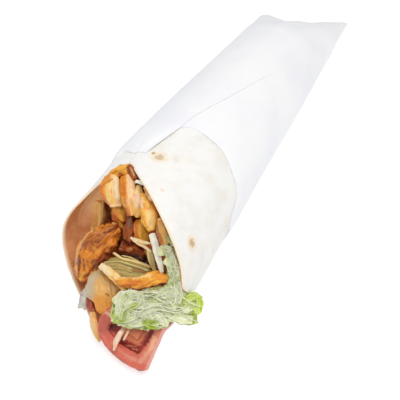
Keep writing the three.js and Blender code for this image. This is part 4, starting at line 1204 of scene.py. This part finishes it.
print("stage: lettuce")
perMillimetre = 2.5  # picture points, near the mouth
lettuce = {  # sizes in mm, bend in degrees a step, lift off what lies below
    "leaf": {"count": 85, "width": (2.4, 6.5), "length": (6, 15), "thick": 0.28, "bend": (0, 9),
             "lift": (0.1, 1.2), "steps": 12},
    "strand": {"count": 60, "width": (0.3, 0.6), "length": (6, 16), "thick": 0.26, "bend": (1, 9),
               "lift": (0.1, 0.7), "steps": 18},
}
lettuceAreas = [  # share of the shreds, middle and half sizes in the picture, heading and stray in degrees
    (0.2, (127, 304), (13, 14), 55, 40), (0.3, (154, 306), (16, 14), 5, 28),
    (0.26, (172, 266), (9, 24), 75, 40), (0.12, (188, 305), (12, 10), 10, 60),
    (0.12, (135, 317), (17, 8), 20, 40),
]
shownLettuce = {  # the ones the photo shows clearly: width, how green, picture points along it
    "leaf": [
        (5.5, 0, [(114, 304), (121, 299), (130, 296), (139, 295)]),
        (4.5, 0, [(117, 315), (122, 306), (131, 302), (140, 304)]),
        (3.0, 0.6, [(121, 321), (124, 312), (130, 307), (137, 304)]),
        (4.2, 0, [(144, 314), (155, 307), (166, 306), (175, 311)]),
        (4.0, 0, [(176, 281), (177, 290), (178, 297), (177, 304)]),
        (3.4, 0.1, [(181, 280), (182, 288), (182, 294), (180, 301)]),
        (3.6, 0.1, [(164, 260), (170, 264), (176, 270), (181, 277)]),
        (3.4, 0.3, [(172, 282), (176, 277), (181, 276), (186, 279)]),
        (3.4, 0, [(157, 313), (160, 318), (164, 322), (169, 324)]),
        (4.4, 0.1, [(168, 318), (176, 317), (184, 319), (193, 320)]),
        (3.0, 0.6, [(184, 304), (188, 299), (194, 297), (200, 299)]),
        (3.2, 0.6, [(199, 298), (200, 303), (199, 309), (196, 314)]),
        (3.6, 0, [(184, 313), (188, 308), (193, 306), (197, 309)]),
        (3.4, 0.3, [(161, 256), (162, 250), (166, 248), (171, 251)]),
        (4.0, 0.2, [(164, 254), (163, 261), (165, 268), (171, 275)]),
        (3.4, 0, [(172, 256), (173, 263), (175, 270), (177, 278)]),
        (2.2, 1, [(167, 235), (169, 239), (171, 243), (173, 247)]),
        (2.4, 0.6, [(112, 322), (115, 317), (119, 315), (123, 317)]),
        (3.4, 1, [(145, 321.5), (148, 323.5), (152, 325), (157, 325)]),
    ],
    "strand": [
        (0.5, 0, [(137, 303), (137.5, 298), (140, 294), (144, 292)]),
        (0.5, 0, [(141, 293), (143.5, 299), (144, 306), (142, 313)]),
        (0.4, 0, [(144, 296), (151, 296), (158, 299), (166, 304)]),
        (0.4, 0, [(146, 293), (154, 292.5), (162, 296), (170, 303)]),
        (0.4, 0.1, [(142, 311), (150, 307), (160, 306), (171, 309)]),
        (0.4, 0, [(143, 315), (152, 310.5), (162, 310), (173, 313)]),
        (0.4, 0.1, [(136, 318), (144, 315), (152, 312), (160, 313)]),
        (0.5, 0.3, [(121, 320), (123, 312), (128, 307), (135, 305)]),
        (0.5, 0, [(169, 250), (170.5, 246), (174, 245.5), (177, 250)]),
        (0.45, 0, [(162, 251), (168, 252), (174, 255), (178, 261)]),
        (0.45, 0, [(161, 257), (163, 262), (168, 264), (172, 260)]),
        (0.4, 0, [(163, 262), (170, 266), (177, 268), (184, 268)]),
        (0.4, 0, [(168, 272), (174, 271), (180, 271), (185, 273)]),
        (0.45, 0.1, [(171, 282), (174, 277), (179, 274), (185, 275)]),
        (0.45, 0, [(174, 281), (175, 289), (176, 297), (174, 305)]),
        (0.4, 0, [(180, 281), (181.5, 288), (182, 295), (180, 303)]),
        (0.45, 0, [(158, 312), (162, 315), (165, 320), (168, 326)]),
        (0.45, 0, [(156, 320), (161, 317), (167, 316), (173, 320)]),
        (0.4, 0.3, [(160, 297), (167, 300), (172, 305), (176, 311)]),
        (0.4, 0, [(165, 288), (170, 287), (175, 289), (178, 294)]),
        (0.45, 0.1, [(186, 316), (191, 319), (196, 321), (202, 321.5)]),
        (0.4, 0, [(150, 325), (155, 326), (160, 327), (166, 326)]),
    ],
}
# The darkest strokes and the leafShade ones are painted shade in the gaps between leaves; the wide pale
# stroke over the right column is partly painted light against the flap's shade.
lettucePaint = [
    ("herb", 7, 0.9, [(166, 235), (170, 242), (172, 245)]),
    ("leafGapShadow", 1.8, 0.9, [(145, 297.5), (153, 298.5)]),
    ("leafGapShadow", 1.6, 0.9, [(162.5, 305.5), (164.5, 306)]),
    ("leafGapShadow", 1.6, 0.9, [(163, 287), (167, 288.5)]), ("leafGapShadow", 1.6, 0.8, [(175, 251), (178.5, 257)]),
    ("leafGapShadow", 1.4, 0.8, [(136, 317), (141, 318.5)]), ("leafGapShadow", 1.4, 0.7, [(170, 312), (174, 315)]),
    ("leafShade", 2.2, 0.6, [(126, 295), (127.5, 297)]), ("leafShade", 2.2, 0.6, [(133, 294), (135, 296)]),
    ("leafGreen", 4, 0.7, [(166, 259), (170, 259)]),
    ("leafGreen", 4, 0.7, [(174, 281), (180, 277), (184, 278)]),
    ("leafPale", 34, 0.85, [(173, 255), (176, 288)]), ("leafBright", 8, 1, [(147, 323), (153, 325)]),
    ("leafGreen", 6, 0.7, [(121, 321), (126, 311), (136, 305)]),
    ("leafShade", 3, 0.6, [(145, 298), (152, 299)]), ("leafGreen", 5, 0.8, [(113, 316), (117, 322)]),
    ("leafLime", 14, 0.65, [(188, 301), (198, 299), (199, 312)]),
    ("leafBright", 2.4, 0.5, [(183, 302), (189, 297), (196, 295.5)]),
    ("leafBright", 2.4, 0.5, [(201, 302), (202, 313)]), ("leafShade", 3, 0.5, [(174, 250), (179, 262)]),
    ("leafGreen", 8, 0.3, [(166, 258), (172, 262)]), ("leafGreen", 10, 0.3, [(170, 278), (178, 283)]),
    ("leafShade", 2, 0.6, [(144, 293), (155, 297)]), ("leafGreen", 5, 0.5, [(148, 299), (152, 300)]),
]


def addSheet(mesh, top, under, layers, green, ribs):  # a closed sheet between two grids of places
    top, under = ([[mesh.verts.new(place) for place in row] for row in grid] for grid in (top, under))
    for grid in (top, under):
        for row in grid:
            for v, rib in zip(row, ribs):
                v[layers[0]], v[layers[1]] = green, rib
    steps, lanes = len(top) - 1, len(top[0]) - 1

    def wallFace(i, j, nextI, nextJ, flip):
        quad = (top[i][j], under[i][j], under[nextI][nextJ], top[nextI][nextJ])
        mesh.faces.new(quad[::-1] if flip else quad)
    for i in range(steps):
        for j in range(lanes):
            mesh.faces.new((top[i][j], top[i + 1][j], top[i + 1][j + 1], top[i][j + 1]))
            mesh.faces.new((under[i][j], under[i][j + 1], under[i + 1][j + 1], under[i + 1][j]))
        wallFace(i, 0, i + 1, 0, False)
        wallFace(i, lanes, i + 1, lanes, True)
    for i, flip in ((0, True), (steps, False)):
        for j in range(lanes):
            wallFace(i, j, i, j + 1, flip)


def addRibbon(mesh, path, width, thick, tilt, wave, seed, layers, green):  # a shred that twists on its way
    steps = len(path) - 1
    lanes = (-1, 0, 1)
    top, under, side = [], [], None
    for i, place in enumerate(path):
        tangent = (path[min(i + 1, steps)] - path[max(i - 1, 0)]).normalized()
        side = (tangent.cross(proud) if side is None else side - tangent * side.dot(tangent)).normalized()
        turned = side.copy()
        turned.rotate(Matrix.Rotation(tilt + 0.7 * math.sin(seed + i * 0.5), 3, tangent))
        over = turned.cross(tangent).normalized()
        wide = width * (0.35 + 0.65 * math.sqrt(max(0, math.sin(math.pi * mix(0.04, 0.96, i / steps)))))
        middle = [place + turned * (s * wide / 2) + over * wave * abs(s) * math.sin(seed * 3 + i * 1.15 + s)
                  for s in lanes]
        top.append([p + over * thick / 2 for p in middle])
        under.append([p - over * thick / 2 for p in middle])
    addSheet(mesh, top, under, layers, green, [0.7] * len(lanes))


def softened(depths):  # each depth moved towards its neighbours'
    steps, lanes = len(depths) - 1, len(depths[0]) - 1

    def soft(i, j):
        return (depths[max(0, i - 1)][j] + depths[min(steps, i + 1)][j] + depths[i][max(0, j - 1)]
                + depths[i][min(lanes, j + 1)] + 2 * depths[i][j]) / 6
    return [[soft(i, j) for j in range(lanes + 1)] for i in range(steps + 1)]


def addLeaf(mesh, tree, path, width, lift, seed, layers, green, hold=0.88):
    # a leaf draped over what lies below; hold is the share of it that has to have something below
    lanes = [k / 3 - 1 for k in range(7)]
    steps = len(path) - 1
    grid = []
    for i, (x, y) in enumerate(path):
        (ax, ay), (bx, by) = path[max(0, i - 1)], path[min(steps, i + 1)]
        way = math.hypot(bx - ax, by - ay)
        rounded = 0.3 + 0.7 * math.sqrt(max(0, math.sin(math.pi * mix(0.06, 0.94, i / steps))))
        wide = perMillimetre * width * rounded * (1 + 0.5 * noise.noise(Vector((seed, i * 0.5, 1))))
        grid.append([(x + (ay - by) / way * s * wide / 2, y + (bx - ax) / way * s * wide / 2) for s in lanes])
    places = [[landing(tree, *spot)[0] for spot in row] for row in grid]
    known = [inMouth(place)[2] for row in places for place in row if place is not None]
    if len(known) < hold * len(grid) * len(lanes):
        return
    low = sum(known) / len(known) - 1
    depths = [[low if place is None else inMouth(place)[2] for place in row] for row in places]
    for _ in range(4):
        depths = softened(depths)
    curl, lean = rng.uniform(-0.3, 0.8), rng.uniform(-0.6, 0.6)
    top = []
    for i, row in enumerate(grid):
        top.append([])
        for j, (s, (x, y)) in enumerate(zip(lanes, row)):
            wave = 0.3 * math.sin(i * 0.8 + seed) * s + 0.15 * math.sin(i * 1.9 + j * 2.1 + seed)
            top[-1].append(fromPicture(x, y, depths[i][j] + lift + curl * s * s + lean * s + wave))
    under = [[place - proud * lettuce["leaf"]["thick"] * mm for place in row] for row in top]
    addSheet(mesh, top, under, layers, green, [1, 0.1, 0, 1, 0, 0.1, 1])


def addShred(mesh, tree, path, width, lift, seed, layers, green):  # a thin shred that lies on what is below
    places, depth = [], None
    for i, (x, y) in enumerate(path):
        place = landing(tree, x, y)[0]
        if place is None and depth is None:
            continue
        found = inMouth(place)[2] if place is not None else depth - 0.4
        depth = found if depth is None else mix(depth, found, 0.5)
        places.append(fromPicture(x, y, depth + lift + 0.25 * math.sin(i * 0.9 + seed)))
    if len(places) > 4:
        tilt, wave = math.radians(rng.uniform(-50, 50)), rng.uniform(0.03, 0.15) * mm
        addRibbon(mesh, places, width * mm, lettuce["strand"]["thick"] * mm, tilt, wave, seed, layers, green)


def wanderPath(x, y, turn, length, bend):  # an arc through a picture point
    steps = max(7, round(length / 1.1))
    step, path = length / steps * perMillimetre, []
    turn -= bend * steps / 2
    x -= math.cos(turn + bend * steps / 4) * step * steps / 2
    y += math.sin(turn + bend * steps / 4) * step * steps / 2
    for _ in range(steps + 1):
        path.append((x, y))
        x, y, turn = x + step * math.cos(turn), y - step * math.sin(turn), turn + bend
    return path


def layLettuce(name, kind, tree, greens):
    mesh = bmesh.new()
    layers = [mesh.verts.layers.float.new(layerName) for layerName in ("green", "rib")]
    add = {"leaf": addLeaf, "strand": addShred}[kind]
    sizes = lettuce[kind]
    for share, middle, half, heading, stray in lettuceAreas:
        small = 0.7 if kind == "leaf" and half[0] < 14 else 1  # smaller leaves in the narrow areas
        for k in range(round(share * sizes["count"])):
            x, y = (m + h * rng.uniform(-1, 1) for m, h in zip(middle, half))
            turn = math.radians(heading + stray * rng.uniform(-1, 1))
            length, width = rng.uniform(*sizes["length"]), rng.uniform(*sizes["width"])
            bend = math.radians(rng.uniform(*sizes["bend"])) * rng.choice((-1, 1))
            path = wanderPath(x, y, turn, length * small, bend)
            if kind == "strand" and sum(landing(tree, *spot)[0] is None for spot in path) > 1:
                continue
            add(mesh, tree, path, width * small, rng.uniform(*sizes["lift"]), k, layers, rng.choice(greens))
    for k, (width, green, points) in enumerate(shownLettuce[kind]):
        path = [tuple(curveAt(points, i / sizes["steps"])) for i in range(sizes["steps"] + 1)]
        shape = (mesh, tree, path, width, sizes["lift"][1] + 0.2 * (k % 3), k, layers, green)
        if kind == "leaf":
            addLeaf(*shape, hold=0.4)
        else:
            addShred(*shape)
    return meshPiece(name, mesh)


def lettuceMaterial():
    material, tree, shader = newMaterial("lettuceLeaf", roughness=0.3, coat=0.3, flesh=0.35,
                                         fleshRadius=(0.75, 1, 0.45), fleshDepth=1.2)
    painted, richer = paintedColors(tree, 1.7, 0.82)
    veins = mathNode(tree, "MULTIPLY", mottle(tree, 1.4, 0.42, 0.62), 0.5)
    green = attributeValue(tree, "green")
    mask = mathNode(tree, "MULTIPLY", mathNode(tree, "ADD", veins, green), 0.7)
    body = mixColor(tree, mask, painted, richer)
    rib = mapRange(tree, attributeValue(tree, "rib"), 0.45, 1.0, 0.0, 0.75)
    rib = mathNode(tree, "MULTIPLY", rib, mapRange(tree, green, 0.0, 1.0, 1.0, 0.25))
    tree.links.new(mixColor(tree, rib, body, rgb(248, 248, 232)), shader.inputs["Base Color"])
    addBump(tree, shader, objectNoise(tree, 0.9), 0.25, 0.5)
    return material


heapShape = {"voxel": 0.45, "rounds": 3, "size": 2.0, "height": 1.2, "middle": 0.8}
lettuceBase = softCopy("lettuce_heap", "lettuceBase", **heapShape)
lettuceFinish = lettuceMaterial()
paint(lettuceBase, "green", lambda v: 0.6)
paint(lettuceBase, "rib", lambda v: 0)
tint(lettuceBase, "leafMid", strokes=lettucePaint, deep="leafShade", hollow=1.2)
below = treeOf(lettuceBase, meatPieces["chicken_piece_flap"])
leaves = layLettuce("lettuceLeaves", "leaf", below, (0, 0.2, 0.5, 0.8))
tint(leaves, "leafPale", strokes=lettucePaint, deep="leafGreen", hollow=1.0)
strands = layLettuce("lettuceStrands", "strand", treeOf(lettuceBase, leaves), (0, 0, 0.1, 0.3))
# the same strokes, weaker, on the strands, painted shade and light included
strandPaint = [(tone, width, strength * 0.75, points) for tone, width, strength, points in lettucePaint]
tint(strands, "leafPale", strokes=strandPaint, deep="leafMid", hollow=0.2)
finishPiece(lettuceBase, lettuceFinish, "lettuce", "lettuce_heap")
finishPiece(leaves, lettuceFinish, "lettuce")
finishPiece(strands, lettuceFinish, "lettuce")

print("stage: tomato")
tomatoPaint = [
    # painted highlight: the rose stroke near the top left
    ("mauvePink", 14, 0.8, [(100, 312), (104, 328)]), ("rose", 3, 0.7, [(105, 312), (112, 316)]),
    ("garnet", 8, 0.9, [(112, 327), (118, 327)]), ("ruby", 7, 0.8, [(118, 331), (121, 339)]),
    ("rust", 20, 0.95, [(133, 326), (138, 335)]), ("rust", 8, 0.9, [(128, 336), (132, 341)]),
    # painted shadow: the first garnet stroke, under the lettuce's edge
    ("garnet", 6, 0.85, [(133, 321), (141, 321)]), ("ruby", 7, 0.95, [(121, 342), (129, 345), (138, 349)]),
    ("garnet", 4, 0.9, [(122, 342), (130, 348), (138, 352)]),
    ("ruby", 6, 0.9, [(139, 349), (146, 341), (152, 331)]), ("garnet", 3, 0.8, [(145, 344), (152, 333)]),
    ("blush", 5, 0.6, [(126, 357), (139, 361), (148, 352)]),
    ("blush", 9, 0.8, [(159, 332), (152, 348), (146, 360)]), ("peach", 4, 0.4, [(156, 338), (150, 350)]),
    ("blush", 3, 0.3, [(101, 334), (108, 345), (120, 356)]),
    ("rose", 3, 0.2, [(112, 343), (124, 354), (136, 360)]),
    ("mauvePink", 3, 0.5, [(99, 336), (110, 352), (126, 364)]),
    ("rose", 4, 0.3, [(154, 338), (150, 350), (141, 362)]),
    ("rust", 1.2, 0.8, [(127, 345.5), (135, 346.5), (141, 344)]),
    ("rust", 1.2, 0.7, [(131, 348.5), (137, 349.5)]),
    ("skin", 2.0, 0.9, [(96.5, 338), (105, 347.5), (118, 360), (131, 369), (147, 372.5)]),
    ("mauvePink", 2.6, 0.8, [(166, 334), (156, 357), (150, 372)]),
]
tomatoShape = {"voxel": 0.25, "rounds": 9, "size": 3.0, "height": 0.4}
tomatoSlice = softCopy("tomato_slice", "tomatoSlice", **tomatoShape)
tint(tomatoSlice, "salmon", strokes=tomatoPaint, deep="ruby", hollow=0.08, wander=1.4)
tomatoFinish = moistMaterial("tomatoFlesh", roughness=0.22, coat=0.5, flesh=0.25, radius=(1, 0.4, 0.25),
                             bumpSize=1.0, freckle=0.3)
finishPiece(tomatoSlice, tomatoFinish, "tomato", "tomato_slice")

print("stage: floor, light and camera")
studio = {  # a lamp's place is across, up and proud of what it aims at, in metres
    "aim": Vector((0, -0.02, 0.03)), "keyPlace": (0.08, 0.34, 0.64), "sidePlace": (-0.5, 0.3, 0.3),
    "key": 3.2, "side": 0.35, "sky": 0.45, "floorGlow": 0.62, "lampSize": 0.5, "floorSize": 6, "sensor": 36,
}


def addLight(name, offset, power, color):
    data = bpy.data.lights.new(name, "AREA")
    data.shape, data.size, data.energy, data.color = "DISK", studio["lampSize"], power, color
    light = addObject(name, data)
    light.location = studio["aim"] + across * offset[0] + up * offset[1] + proud * offset[2]
    light.rotation_euler = (studio["aim"] - light.location).to_track_quat("-Z", "Y").to_euler()


bpy.ops.object.select_all(action="DESELECT")
bpy.ops.mesh.primitive_plane_add(size=studio["floorSize"], location=(0, 0, -0.0002))
floor = bpy.context.object
floor.name = "floor"
floorMaterial, _, floorShader = newMaterial("paleFloor", roughness=0.9)
floorShader.inputs["Base Color"].default_value = rgb(196, 196, 198)
floorShader.inputs["Emission Color"].default_value = (1, 1, 1, 1)
floorShader.inputs["Emission Strength"].default_value = studio["floorGlow"]
floor.data.materials.append(floorMaterial)

addLight("keyLight", studio["keyPlace"], studio["key"], (1, 0.99, 0.97))
addLight("sideLight", studio["sidePlace"], studio["side"], (0.95, 0.97, 1))
world = bpy.data.worlds.new("studio")
world.use_nodes = True
background = world.node_tree.nodes["Background"]
background.inputs["Color"].default_value = (0.96, 0.975, 1, 1)
background.inputs["Strength"].default_value = studio["sky"]
bpy.context.scene.world = world
bpy.context.scene.view_settings.view_transform = "Standard"

camera = addObject("camera", bpy.data.cameras.new("camera"))
camera.data.sensor_width = studio["sensor"]
camera.data.lens = view["focal"] / view["picture"] * studio["sensor"]
camera.data.clip_start, camera.data.clip_end = 0.01, 20
camera.location = cameraPlace * mm
camera.rotation_euler = (-proud).to_track_quat("-Z", "Y").to_euler()
bpy.context.scene.camera = camera
